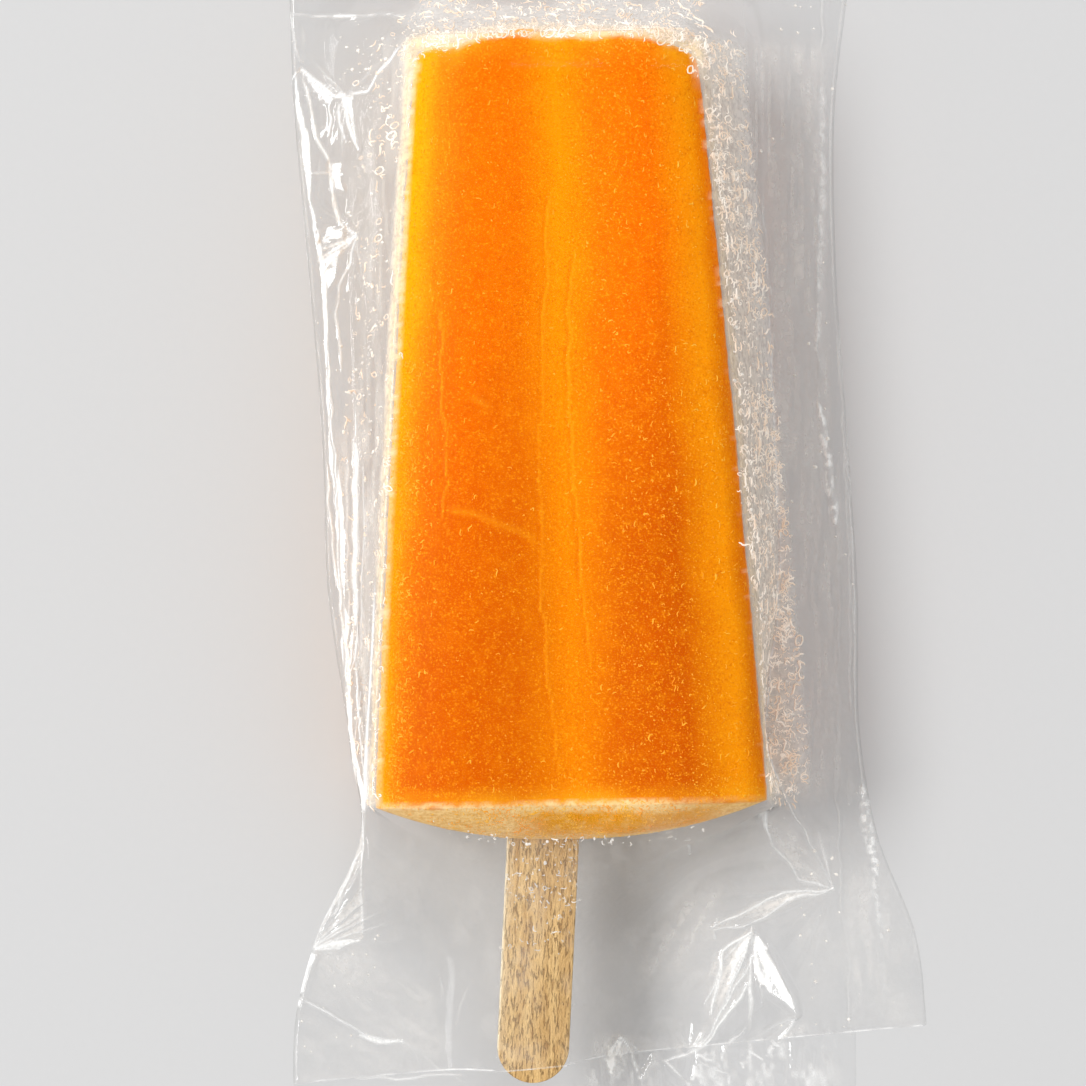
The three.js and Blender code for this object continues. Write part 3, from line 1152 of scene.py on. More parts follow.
    def roughened(self, points: Array) -> Array:
        """Adds the slight unevenness of frozen juice.

        Args:
            points: Rings of points in the ice's own axes.

        Returns:
            The moved points.
        """
        along = points[..., 1]
        body = ease(along, -1.5, 2.0)
        wave = layered_noise(points, (0.10, 9.0, 3), (0.05, 2.6, 5))
        grain = 0.025 * value_noise(points, 0.9, 7)
        frill = layered_noise(points, (0.10, 1.7, 13), (0.09, 0.8, 15))
        crag = layered_noise(points, (0.10, 3.0, 11), (0.20, 1.5, 17), (0.12, 0.8, 19))
        half = self.half_width(along)
        outward_x, outward_z = points[..., 0] / half, points[..., 2] / (self.thickness / 2)
        moved = points.copy()
        moved[..., 2] += (wave + grain) * outward_z * (0.35 + 0.65 * body)
        moved[..., 0] += (0.12 * value_noise(points, 4.0, 9) + grain) * outward_x * (0.35 + 0.65 * body)
        moved[..., 0] += frill * outward_x * np.abs(outward_x) ** 5 * body
        moved[..., 1] += crag * ease(along, self.length - 3.5, self.length - 0.8)
        return moved

    def wet_light_and_shade(self, points: Array) -> Array:
        """Where thin wet lines cross the upper face, painted as highlights with painted shade in their lee.

        Args:
            points: Rings of points in the layout's axes.

        Returns:
            A value for each point, near 1 on a line, where a highlight is painted, and less than 0 in its
            lee, where shade is painted.
        """
        x, y = points[..., 0] + layered_noise(points, (0.42, 3.4, 21), (0.16, 1.2, 22)), points[..., 1]
        total = np.zeros(points.shape[:-1])
        for width, strength, lines in ((0.20, 1.0, self.wet_lines), (0.55, 0.8, self.smears)):
            for line in lines:
                far = distance_to_line(x, y, line)
                # the lee beside each line is painted darker, as shade
                lee = distance_to_line(x + 1.9 * width, y + 1.2 * width, line)
                drawn = np.exp(-((far / width) ** 2)) - 0.75 * np.exp(-((lee / (1.3 * width)) ** 2))
                total = np.where(np.abs(drawn) > np.abs(total / strength), strength * drawn, total)
        return total * (0.40 + 0.60 * noise_share(points, 5.0, 23)) * (points[..., 2] > self.middle_z)

    def build(self) -> Piece:
        """Makes the ice's mesh with what its finish reads.

        Returns:
            The dressed ice.
        """
        own, on_dome = self.rings()
        own = self.roughened(own)
        placed = self.place(own)
        wet_light_and_shade = self.wet_light_and_shade(placed)
        placed[..., 2] += self.wet_rise * wet_light_and_shade
        piece = grid_object("ice_bar", placed, closed=True)
        for name, values in self.markings(own, on_dome[:, None], wet_light_and_shade).items():
            add_attribute(piece, name, values)
        piece.data.materials.append(IceFinish().build())
        return piece

    def markings(self, own: Array, on_dome: Array, wet_light_and_shade: Array) -> dict[str, Array]:
        """What the ice's finish and its crystals read.

        Args:
            own: Rings of points in the ice's own axes.
            on_dome: Whether each ring is part of the dome.
            wet_light_and_shade: Where wet lines cross the upper face.

        Returns:
            The values of the ice's attributes.
        """
        x, y, z = own[..., 0], own[..., 1], own[..., 2]
        across = x / self.half_width(y)
        behind_edge = y - (self.length - self.set_back(np.clip(across, -1.0, 1.0)))
        blotch = noise_share(own, 2.2, 31)
        dome = on_dome * ease(y, 0.02, -0.35)
        rim_line = self.rim_line(own)
        # partly frost, partly painted light: the pale frost lies only on the left side, which faces the key
        # light
        side, fringe = self.lit_left_frost(own, blotch)
        frost = np.maximum.reduce([side, fringe, self.tip_frost(behind_edge, blotch), rim_line])
        lens = ease(np.abs(x - 7.0), 16.0, 9.5) * ease(z, 3.2, 5.4) * ease(z, 9.4, 8.2)
        lit_tip = 0.5 * ease(behind_edge, -5.0, -0.6)
        lit_ends = np.maximum(lit_tip, 0.60 * ease(y, 3.6, 0.2)) * blotch
        return {
            "across": across,
            "along": y / self.length,
            "frost": np.clip(frost, 0.0, 0.95) * np.where(dome > 0.5, rim_line > 0.0, 1.0),
            "fleck": np.where(dome > 0.5, self.dome_flecks(x, blotch), self.flecks(own)),
            "dome": dome,
            "lens": lens,
            # painted highlights along wet lines and at the lit tip and rim, and painted shade in the lines'
            # lee
            "wet_light_and_shade": 0.42 * wet_light_and_shade + lit_ends,
        }

    def lit_left_frost(self, own: Array, blotch: Array) -> tuple[Array, Array]:
        """Frost on the left side only: partly frost and partly painted light, as the left side faces the key
        light and the shaded right side is left bare.

        Args:
            own: Rings of points in the ice's own axes.
            blotch: Random values from 0 to 1.

        Returns:
            The frost of the side itself, and of the fringe at its edge.
        """
        across = own[..., 0] / self.half_width(own[..., 1])
        height = own[..., 2] / (self.thickness / 2)
        side = ease(-across, 0.955, 0.99) * ease(np.abs(height), 0.93, 0.72)
        return side * (0.55 + 0.3 * blotch), ease(across, -0.975, -0.998) * (0.45 + 0.4 * blotch)

    @staticmethod
    def tip_frost(behind_edge: Array, blotch: Array) -> Array:
        """Frost along the tip's edge."""
        return ease(behind_edge + 1.0 * (blotch - 0.5), -1.3, -0.3) * (0.45 + 0.4 * blotch)

    def rim_line(self, own: Array) -> Array:
        """The ragged white line along the upper rim, strongest in the middle.

        Args:
            own: Rings of points in the ice's own axes.

        Returns:
            How white each point is.
        """
        x, y = own[..., 0], own[..., 1]
        ragged = 0.5 * value_noise(own, 1.3, 37)
        middle = ease(np.abs(x - 1.5), 22.0, 8.0)
        line = ease(y + ragged, -0.5 - 0.9 * middle, -0.1) * ease(y + 0.5 * ragged, 0.75, 0.25)
        line = line * (own[..., 2] / (self.thickness / 2) > 0.3)
        return line * (0.95 + 0.3 * middle) * lerp(0.30, 1.0, ease(x, 21.0, 7.0))

    def flecks(self, own: Array) -> Array:
        """How densely crystals lie on the bar, most of all along its left edge.

        Args:
            own: Rings of points in the ice's own axes.

        Returns:
            The density at each point.
        """
        across = own[..., 0] / self.half_width(own[..., 1])
        along = own[..., 1] / self.length
        dense = ease(across, -0.1, 0.55) * 0.45 + ease(across, 0.72, 0.98) * 0.6
        dense = dense + ease(across, -0.66, -0.95) * 1.1 + ease(along, 0.10, 0.0) * 0.9
        dense = dense + 0.9 * ease(along, 0.93, 0.985)
        edge_grit = 2.6 * ease(along, 0.70, 0.45) * ease(across, -0.80, -0.92)
        return np.clip(dense * (0.15 + 1.1 * noise_share(own, 11.0, 33)) + 0.09, 0.0, 1.3) + edge_grit

    @staticmethod
    def dome_flecks(x: Array, blotch: Array) -> Array:
        """How densely crystals lie on the dome."""
        return 7.0 * (0.2 + 0.9 * blotch) * ease(np.abs(x), 24.0, 10.0)

    def top_height(self, x: Array, y: Array) -> Array:
        """Height of the ice's upper face under a point of the layout's plan.

        Args:
            x: X of the points.
            y: Y of the points.

        Returns:
            The heights, and -1 where there is no ice.
        """
        own_x, own_y = self.own_plan(x, y)
        u = own_x / self.half_width(own_y)
        inside = (np.abs(u) < 1) & (own_y > 0) & (own_y < self.length)
        w = np.clip(1 - np.abs(np.clip(u, -1, 1)) ** self.squareness, 0, 1) ** (1 / self.squareness)
        return np.where(inside, self.middle_z + (self.thickness / 2 - self.lobe_dip(u)) * w, -1.0)


# ---------------------------------------------------------------------------------------------
# Stick
# ---------------------------------------------------------------------------------------------


@dataclass
class Stick:
    """The flat round-ended stick, half sunk in the ice."""

    length: float = 93.0
    width: float = 10.0
    thickness: float = 2.0
    rounding: float = 0.3
    lean: float = math.radians(-2.7)
    end: Point = (-5.3, -38.9)
    middle_z: float = 10.95

    def outline_half(self, y: Array) -> Array:
        """Half of the stick's width at a distance from its free end."""
        radius = self.width / 2
        from_end = np.minimum(y, self.length - y)
        rounded = np.sqrt(np.clip(radius**2 - (radius - from_end) ** 2, 0, None))
        return np.where(from_end < radius, rounded, radius)

    def build(self) -> Piece:
        """Makes the stick's mesh.

        Returns:
            The dressed stick.
        """
        arc = self.width / 2 * (1 - np.cos(np.linspace(0.06, np.pi / 2, 22)))
        body = np.linspace(self.width / 2, self.length - self.width / 2, 60)[1:-1]
        stations = np.concatenate([arc, body, (self.length - arc)[::-1]])
        own = np.array([[(x, y, z) for x, z in self.section(y)] for y in stations])
        wobble = 0.05 * value_noise(own * np.array([1.0, 0.2, 1.0]), 4.0, 41)
        own[..., 0] += wobble * np.sign(own[..., 0])
        cos, sin = math.cos(self.lean), math.sin(self.lean)
        x, y, z = own[..., 0], own[..., 1], own[..., 2]
        placed_x, placed_y = self.end[0] + x * cos - y * sin, self.end[1] + x * sin + y * cos
        placed = np.stack([placed_x, placed_y, self.middle_z + z], axis=-1)
        piece = grid_object("stick_board", placed, closed=True)
        # painted highlight along the stick's left edge, where the key light falls
        add_attribute(piece, "rim", 0.9 * ease(x, 0.45 - self.width / 2, 0.10 - self.width / 2))
        piece.data.materials.append(WoodFinish().build())
        return piece

    def section(self, y: float) -> list[Point]:
        """The eased section at a distance from the free end.

        Args:
            y: The distance.

        Returns:
            Its corners as X and Z, once round from +X over the top.
        """
        half, tall = float(self.outline_half(y)), self.thickness / 2
        radius = min(self.rounding, half * 0.8)
        turns = np.linspace(0.0, np.pi / 2, 5)
        right = [(half - radius + radius * math.cos(a), tall - radius + radius * math.sin(a)) for a in turns]
        left = [(-x, z) for x, z in reversed(right)]
        flat = np.linspace(half - radius, -(half - radius), 9)[1:-1]
        top = right + [(x, tall) for x in flat] + left
        return top + [(-x, -z) for x, z in top]

    def sides(self, y: Array, clear: float) -> tuple[Array, Array]:
        """X of the stick's sides at y, with a clearance."""
        middle = self.end[0] - (y - self.end[1]) * math.tan(self.lean)
        half = self.width / 2 + clear
        return middle - half, middle + half


# ---------------------------------------------------------------------------------------------
# Film
# ---------------------------------------------------------------------------------------------


class Facing(Enum):
    """Which way a facet of the film tips, as its rise along X and along Y."""

    LEVEL = (0.0, 0.0)
    KEY = (0.42, -0.09)


class Part(Enum):
    """A part of the sleeve's upper layer."""

    LEFT = "left"
    RIGHT = "right"
    TIP_LEFT = "tip_left"
    MOUTH = "mouth"
    MOUTH_EDGE = "mouth_edge"
    CORNER = "corner"
    ALL = "all"


@dataclass(frozen=True)
class Ridge:
    """A sharp crease that stands up along a line."""

    points: tuple[Point, ...]
    rise: float = 0.26
    width: float = 0.75
    broken: float = 0.35
    white: float = 0.9
    thick: float = 0.17
    beaded: float = 0.0


@dataclass(frozen=True)
class Facet:
    """A flat patch between creases, tipped to one side."""

    corners: tuple[Point, ...]
    facing: Facing = Facing.KEY
    lift: float = 0.0
    white: float = 0.75


@dataclass(frozen=True)
class Haze:
    """A soft milky patch of film: its corners, strength, the width of its fading edge and its streaks.

    The streaks run along one direction, in degrees from +X.
    """

    corners: tuple[Point, ...]
    strength: float
    fade: float
    streaks: float

    def mask(self, x: Array, y: Array) -> Array:
        """How milky the film is.

        Args:
            x: X of the points.
            y: Y of the points.

        Returns:
            A value from 0 to 1 for each point.
        """
        depth = depth_inside(x, y, list(self.corners))
        turn = math.radians(self.streaks)
        along, across = x * math.cos(turn) + y * math.sin(turn), y * math.cos(turn) - x * math.sin(turn)
        streak = layered_noise(plan_spots(0.22 * along, across), (1.0, 1.3, 62), (0.6, 0.5, 63))
        patch = self.strength * ease(depth, -0.5 * self.fade, 0.5 * self.fade)
        return patch * (0.55 + 0.9 * ease(streak, -0.4, 0.9))


@dataclass(frozen=True)
class Fan:
    """Pleats that spread out from one point, between two directions in degrees."""

    apex: Point
    start: float
    end: float
    pleats: int
    reach: float
    slope: float = 0.40
    seed: int = 0
    white: float = 0.85

    def rise(self, x: Array, y: Array) -> Array:
        """How far the pleats stand up.

        Args:
            x: X of the points.
            y: Y of the points.

        Returns:
            The rises.
        """
        far, share, knots, levels = self.spread(x, y)
        zigzag = np.interp(np.clip(share, 0.0, 1.0), knots, levels) * (share <= 1.0)
        pleat = far * math.radians(self.end - self.start) / (2 * self.pleats)
        fade = ease(far, self.reach, self.reach * 0.3)
        return self.slope * pleat * zigzag * fade

    def spread(self, x: Array, y: Array) -> tuple[Array, ...]:
        """Places points among the pleats.

        Args:
            x: X of the points.
            y: Y of the points.

        Returns:
            Distance from the apex, share of the turn, the pleats' borders and their levels.
        """
        far = np.hypot(x - self.apex[0], y - self.apex[1])
        turned = np.degrees(np.arctan2(y - self.apex[1], x - self.apex[0])) - self.start
        share = np.mod(turned, 360.0) / (self.end - self.start)
        chance = np.random.default_rng(self.seed)
        widths = chance.uniform(0.5, 1.5, 2 * self.pleats)
        knots = np.concatenate([[0.0], np.cumsum(widths)]) / widths.sum()
        levels = chance.uniform(0.6, 1.0, 2 * self.pleats + 1)
        levels[::2] = 0.0
        return far, share, knots, levels

    def gleam(self, x: Array, y: Array) -> Array:
        """How far the pleats' crests are painted white, as highlights.

        Args:
            x: X of the points.
            y: Y of the points.

        Returns:
            A value from 0 to 1 for each point.
        """
        far, share, knots, levels = self.spread(x, y)
        chance = np.random.default_rng(self.seed + 100)
        total = np.zeros_like(x)
        turn = math.radians(self.end - self.start)
        for index in range(1, len(knots), 2):
            reach = self.reach * chance.uniform(0.45, 1.0)
            pleat = (knots[index] - knots[index - 1]) * 2
            half = np.maximum(0.10, far * turn * chance.uniform(0.05, 0.14) * pleat)
            off = np.abs(share - knots[index]) * turn * far
            stroke = np.exp(-((off / half) ** 2)) * ease(far, reach, 0.4 * reach)
            total = np.maximum(total, stroke * levels[index] * chance.uniform(0.55, 1.0))
        return self.white * total


@dataclass(frozen=True)
class Crumple:
    """A layer of small random facets over one part of the film."""

    part: Part
    across: float
    along: float
    rise: float
    seed: int


# each with its points, rise, half width, how far it is broken up, whiteness, and the white line's
# half width and share of beads
RIDGES: tuple[Ridge, ...] = (
    # along the left side
    Ridge(((-37.4, 102.0), (-36.0, 95.6), (-35.4, 92.8), (-33.7, 89.4), (-33.3, 86.0), (-32.5, 81.1),
          (-30.3, 79.3)), 0.17, 0.42, 0.1, 0.95, 0.2),
    Ridge(((-29.8, 79.1), (-30.9, 75.6), (-32.5, 72.4), (-32.7, 67.7), (-32.0, 60.0)), 0.15, 0.4, 0.4, 0.8),
    Ridge(((-34.9, 75.0), (-34.2, 70.0), (-34.0, 62.0), (-33.4, 52.0), (-32.6, 43.8)), 0.15, 0.4, 0.5, 0.8),
    Ridge(((-34.0, 47.0), (-33.8, 42.0), (-32.9, 33.6), (-32.1, 26.4), (-31.5, 20.5)), 0.15, 0.4, 0.3, 0.95,
          0.2),
    Ridge(((-32.9, 46.0), (-32.65, 41.4), (-32.4, 33.6), (-32.2, 28.0)), 0.13, 0.4, 0.3, 0.85),
    Ridge(((-29.9, 50.1), (-30.1, 43.8), (-30.1, 36.4), (-30.0, 28.0), (-30.2, 24.6)), 0.12, 0.42, 0.1,
          0.85, 0.46),
    Ridge(((-31.2, 48.0), (-31.3, 40.0), (-31.1, 31.0), (-31.0, 24.0)), 0.06, 0.36, 0.3, 0.6, 0.22),
    Ridge(((-28.9, 47.0), (-28.8, 38.0), (-28.9, 30.0), (-29.4, 20.0)), 0.05, 0.34, 0.4, 0.5, 0.2),
    Ridge(((-30.4, 25.0), (-30.8, 20.0), (-31.1, 15.0)), 0.15, 0.4, 0.1, 0.9, 0.16),
    Ridge(((-29.7, 24.6), (-30.3, 20.0), (-30.8, 15.6), (-30.6, 8.0), (-29.9, 2.0)), 0.15, 0.4, 0.2, 0.85,
          0.15),
    Ridge(((-31.4, 25.4), (-31.5, 21.0), (-31.2, 16.6)), 0.15, 0.4, 0.1, 0.9, 0.18),
    Ridge(((-29.2, 15.0), (-30.1, 9.0), (-30.6, 4.0), (-29.7, -1.5)), 0.12, 0.4, 0.2, 0.8, 0.14),
    Ridge(((-39.2, 101.4), (-37.8, 102.5), (-35.2, 100.6), (-32.9, 98.9), (-31.3, 98.7)), 0.26, 0.6, 0.0,
          1.0, 0.22),
    Ridge(((-31.3, 98.7), (-28.4, 98.9), (-26.0, 101.4), (-23.4, 104.4)), 0.24, 0.55, 0.0, 0.9, 0.17),
    Ridge(((-27.6, 99.6), (-25.6, 102.3), (-23.4, 104.6)), 0.16, 0.4, 0.1, 0.7, 0.12),
    Ridge(((-29.8, 79.1), (-35.3, 75.8)), 0.26, 0.5, 0.0, 1.0, 0.2),
    Ridge(((-29.8, 79.1), (-35.5, 76.9)), 0.2, 0.4, 0.0, 0.9),
    Ridge(((-29.8, 79.1), (-32.7, 81.2), (-33.3, 84.4)), 0.18, 0.42, 0.1, 0.9),
    Ridge(((-29.8, 79.1), (-33.7, 75.6), (-34.9, 73.8)), 0.2, 0.45, 0.1, 0.9),
    Ridge(((-31.8, 98.4), (-30.9, 94.9), (-29.5, 91.0)), 0.2, 0.45, 0.0, 1.0, 0.24),
    Ridge(((-33.7, 97.6), (-33.3, 95.6), (-33.7, 93.1)), 0.2, 0.45, 0.1, 0.8),
    Ridge(((-32.4, 98.0), (-32.2, 95.0), (-31.2, 92.2)), 0.16, 0.36, 0.1, 0.8),
    Ridge(((-38.0, 88.3), (-35.8, 88.0), (-32.3, 88.2)), 0.1, 0.36, 0.3, 0.6, 0.12),
    Ridge(((-39.8, 110.4), (-32.3, 110.1), (-27.4, 110.3), (-18.2, 109.7)), 0.16, 0.4, 0.6, 0.75, 0.13),
    Ridge(((-33.0, 110.3), (-29.0, 110.2)), 0.16, 0.4, 0.0, 1.0, 0.15),
    Ridge(((-39.4, 110.2), (-38.6, 106.5), (-37.9, 103.5)), 0.2, 0.5, 0.1, 0.5),
    # along the right side
    Ridge(((27.2, 84.4), (27.7, 77.3), (28.2, 70.3), (28.6, 61.1), (28.9, 53.1), (29.0, 45.2), (29.6, 39.5),
          (29.6, 33.9), (29.3, 25.7), (28.7, 20.4), (28.0, 15.0), (27.5, 8.9), (29.0, 3.6), (30.3, 0.6),
          (32.2, -3.0), (37.3, -12.8)), 0.12, 0.34, 0.5, 0.55, 0.13),
    Ridge(((35.9, 117.0), (35.6, 104.1), (35.8, 95.6), (35.1, 84.4), (34.9, 70.3), (35.1, 55.7),
          (35.9, 50.5), (36.5, 46.3), (37.5, 38.5), (37.9, 28.0), (37.9, 13.9), (37.6, 0.3), (37.9, -5.0),
          (38.3, -14.5), (39.2, -22.5), (39.6, -33.4)), 0.14, 0.42, 0.4, 0.30, 0.16),
    Ridge(((35.2, 96.0), (35.6, 84.4), (35.6, 72.0), (35.4, 60.0)), 0.04, 0.6, 0.3, 0.30, 0.75),
    Ridge(((35.1, 55.7), (35.9, 50.5), (36.5, 46.3), (37.2, 38.5)), 0.30, 0.75, 0.25, 1.0, 0.62, 1.0),
    Ridge(((38.9, 84.0), (38.9, 60.0), (39.4, 46.0), (39.9, 30.0), (40.3, 12.0), (41.3, 2.0)), 0.12, 0.36,
          0.5, 0.45, 0.14),
    Ridge(((39.8, 110.0), (37.9, 84.0), (38.1, 66.0), (38.8, 46.0), (39.3, 30.0), (39.6, 12.0)), 0.06, 0.36,
          0.5, 0.35, 0.22),
    Ridge(((41.3, 2.0), (42.1, -4.5), (42.7, -7.3), (43.2, -10.5)), 0.24, 0.65, 0.3, 0.95, 0.75, 0.9),
    Ridge(((41.4, -2.0), (42.4, -8.0), (43.4, -14.0), (43.9, -20.0)), 0.10, 0.4, 0.5, 0.5, 0.6, 0.8),
    Ridge(((43.9, -18.0), (44.3, -24.0), (44.6, -30.0)), 0.05, 0.5, 0.5, 0.22, 0.8, 0.5),
    Ridge(((35.4, 100.0), (35.6, 84.4), (35.3, 74.0), (34.9, 62.0)), 0.02, 0.5, 0.3, 0.55, 0.62, 0.5),
    # from the rim to the mouth
    Ridge(((26.3, -1.5), (27.3, -3.8), (28.6, -6.6), (31.1, -9.5), (32.5, -11.2), (37.3, -12.8)), 0.24, 0.6,
          0.4, 0.75, 0.15),
    Ridge(((26.6, 1.0), (27.2, -3.0), (28.0, -5.5)), 0.2, 0.5, 0.1, 1.0, 0.2),
    Ridge(((37.2, -12.8), (33.5, -13.0), (30.3, -13.4), (27.6, -14.2), (24.9, -15.6), (22.3, -16.9),
          (20.1, -17.9)), 0.30, 0.7, 0.3, 0.9, 0.17),
    Ridge(((37.2, -12.8), (33.0, -13.7), (30.8, -14.3), (29.2, -15.3), (27.6, -16.7), (25.5, -17.6),
          (22.8, -18.0), (20.4, -18.4)), 0.26, 0.6, 0.4, 0.85, 0.15),
    Ridge(((21.0, -16.6), (20.2, -18.0), (20.4, -19.6)), 0.2, 0.5, 0.2, 0.7, 0.14),
    Ridge(((26.3, -21.6), (24.9, -24.2), (23.0, -27.0), (21.2, -29.6), (20.0, -32.4), (18.6, -34.6)), 0.24,
          0.6, 0.3, 0.85, 0.16),
    Ridge(((25.5, -19.5), (24.1, -23.1), (22.7, -26.3), (21.5, -29.5)), 0.28, 0.65, 0.1, 0.9, 0.17),
    Ridge(((25.6, -18.7), (22.7, -20.5), (21.7, -21.4), (21.0, -24.9), (19.7, -30.7)), 0.28, 0.65, 0.1,
          0.95, 0.18),
    Ridge(((21.6, -21.6), (20.4, -26.0), (19.0, -29.0)), 0.2, 0.5, 0.2, 0.8, 0.14),
    Ridge(((25.8, -25.3), (24.1, -27.9), (22.0, -30.1), (20.1, -33.2), (19.0, -34.8), (17.0, -35.8),
          (13.1, -36.9)), 0.36, 0.8, 0.2, 0.95, 0.2),
    Ridge(((32.0, -30.7), (30.1, -33.4), (28.6, -35.5)), 0.26, 0.6, 0.3, 0.7),
    Ridge(((24.6, -32.0), (22.0, -35.0), (21.0, -38.0)), 0.2, 0.5, 0.3, 0.6),
    Ridge(((-29.4, -7.3), (-31.6, -11.5), (-32.9, -13.6), (-34.9, -17.8), (-36.4, -20.9)), 0.24, 0.6, 0.3,
          0.8),
    Ridge(((-38.1, -28.0), (-33.7, -30.1), (-30.6, -31.9), (-28.8, -33.1), (-26.0, -34.1), (-23.2, -34.2)),
          0.20, 0.6, 0.1, 0.6, 0.15),
    Ridge(((-29.4, -33.2), (-26.6, -34.3), (-23.4, -34.4)), 0.2, 0.6, 0.1, 0.8, 0.3),
    Ridge(((-23.2, -34.2), (-21.6, -36.2), (-20.3, -38.6)), 0.14, 0.6, 0.3, 0.25),
    Ridge(((-23.2, -34.2), (-19.3, -37.2), (-15.4, -39.7)), 0.14, 0.6, 0.3, 0.3),
    Ridge(((-29.9, -39.6), (-27.4, -39.4), (-24.6, -39.6), (-19.6, -39.0), (-15.4, -38.8)), 0.2, 0.6, 0.2,
          0.7, 0.15),
    Ridge(((-18.2, -24.9), (-17.9, -26.7), (-17.5, -28.6)), 0.03, 0.5, 0.3, 0.25),
    Ridge(((-14.0, -26.3), (-15.0, -28.4), (-15.7, -30.1), (-16.0, -31.9)), 0.03, 0.5, 0.3, 0.2),
    Ridge(((-29.2, -1.9), (-29.2, -10.1), (-29.2, -19.0)), 0.16, 0.45, 0.1, 0.7, 0.13),
    Ridge(((-30.4, -8.9), (-32.0, -13.0), (-33.1, -16.5)), 0.2, 0.5, 0.2, 0.75),
    Ridge(((16.2, -4.5), (16.7, -7.3)), 0.2, 0.5, 0.1, 0.8),
    Ridge(((7.4, -33.5), (8.8, -36.2), (10.0, -39.7)), 0.30, 0.65, 0.1, 0.9, 0.18),
    Ridge(((7.4, -33.5), (5.6, -35.0), (5.2, -37.5)), 0.30, 0.65, 0.1, 0.9, 0.18),
    Ridge(((13.1, -36.6), (14.5, -37.7), (15.6, -39.1)), 0.3, 0.6, 0.1, 0.8),
)

# each with its corners, facing, lift and whiteness. Pleats spread from the first corner
FACETS: tuple[Facet, ...] = (
    Facet(((-37.8, 102.5), (-32.9, 98.9), (-33.6, 97.6), (-35.4, 99.2)), white=0.9),
    Facet(((-31.6, 98.7), (-30.4, 98.7), (-30.3, 95.3), (-29.5, 91.0), (-30.9, 93.8)), white=0.7),
    Facet(((-33.7, 89.4), (-31.9, 89.6), (-32.4, 87.7), (-31.6, 85.5), (-33.3, 85.8)), white=0.62),
    Facet(((-34.8, 78.4), (-34.0, 80.4), (-31.9, 80.3), (-32.0, 79.0)), white=0.55),
    Facet(((-35.3, 75.8), (-32.4, 77.2), (-32.9, 73.4), (-34.3, 71.2)), white=0.6),
    Facet(((-36.4, -21.4), (-32.9, -19.7), (-29.1, -19.8), (-33.0, -21.2)), Facing.LEVEL, 0.2, 0.7),
    Facet(((-36.4, -21.4), (-35.7, -22.2), (-37.8, -28.0), (-38.2, -30.1), (-38.0, -26.3)), Facing.KEY, 0.2,
          0.95),
    Facet(((25.8, -18.4), (27.1, -20.1), (28.7, -22.8), (30.3, -25.8), (31.4, -27.9), (31.9, -30.2),
          (30.6, -28.6), (28.4, -27.3), (26.6, -25.6), (25.7, -23.2)), Facing.KEY, 0.9, 1.0),
    Facet(((25.6, -18.8), (25.0, -21.0), (23.6, -23.6), (22.6, -25.4), (23.2, -22.6), (24.2, -20.2)),
          Facing.KEY, 0.3, 0.95),
    Facet(((7.0, -33.3), (5.5, -34.8), (5.3, -37.4), (6.3, -39.2), (6.9, -38.0), (7.2, -35.4)),
          Facing.KEY, 0.6, 1.5),
)

# each with its apex, two directions, number of pleats, reach, slope, seed and whiteness
FANS: tuple[Fan, ...] = (
    Fan((-31.3, 98.9), 128.0, 196.0, 4, 8.5, 0.45, 1),
    Fan((-31.3, 98.9), 238.0, 292.0, 5, 9.5, 0.48, 2, 1.0),
    Fan((-31.3, 98.9), 8.0, 50.0, 2, 10.0, 0.40, 3, 0.7),
    Fan((-29.8, 79.1), 160.0, 232.0, 5, 7.5, 0.46, 4, 1.0),
    Fan((-29.8, 79.1), 95.0, 150.0, 3, 9.0, 0.42, 5, 0.6),
    Fan((-29.8, 79.1), 244.0, 284.0, 3, 14.0, 0.42, 6, 0.7),
    Fan((-36.6, -21.2), 14.0, 66.0, 7, 17.0, 0.44, 7, 1.0),
    Fan((-36.6, -21.2), -62.0, 14.0, 4, 21.0, 0.20, 8, 0.35),
    Fan((37.3, -12.8), 96.0, 152.0, 3, 15.0, 0.40, 9, 0.6),
    Fan((37.3, -12.8), 178.0, 206.0, 4, 19.0, 0.40, 10, 0.35),
    Fan((37.3, -12.8), 214.0, 268.0, 3, 16.0, 0.30, 11, 0.4),
    Fan((25.7, -18.2), 225.0, 284.0, 6, 17.0, 0.48, 12, 0.95),
    Fan((7.2, -33.2), 236.0, 320.0, 4, 8.0, 0.48, 13, 0.9),
    Fan((31.8, -30.6), 196.0, 262.0, 4, 9.0, 0.42, 14, 0.7),
    Fan((-23.2, -34.2), 250.0, 345.0, 4, 8.0, 0.30, 15, 0.35),
    Fan((17.0, -35.6), 20.0, 130.0, 4, 6.5, 0.44, 16, 0.7),
)

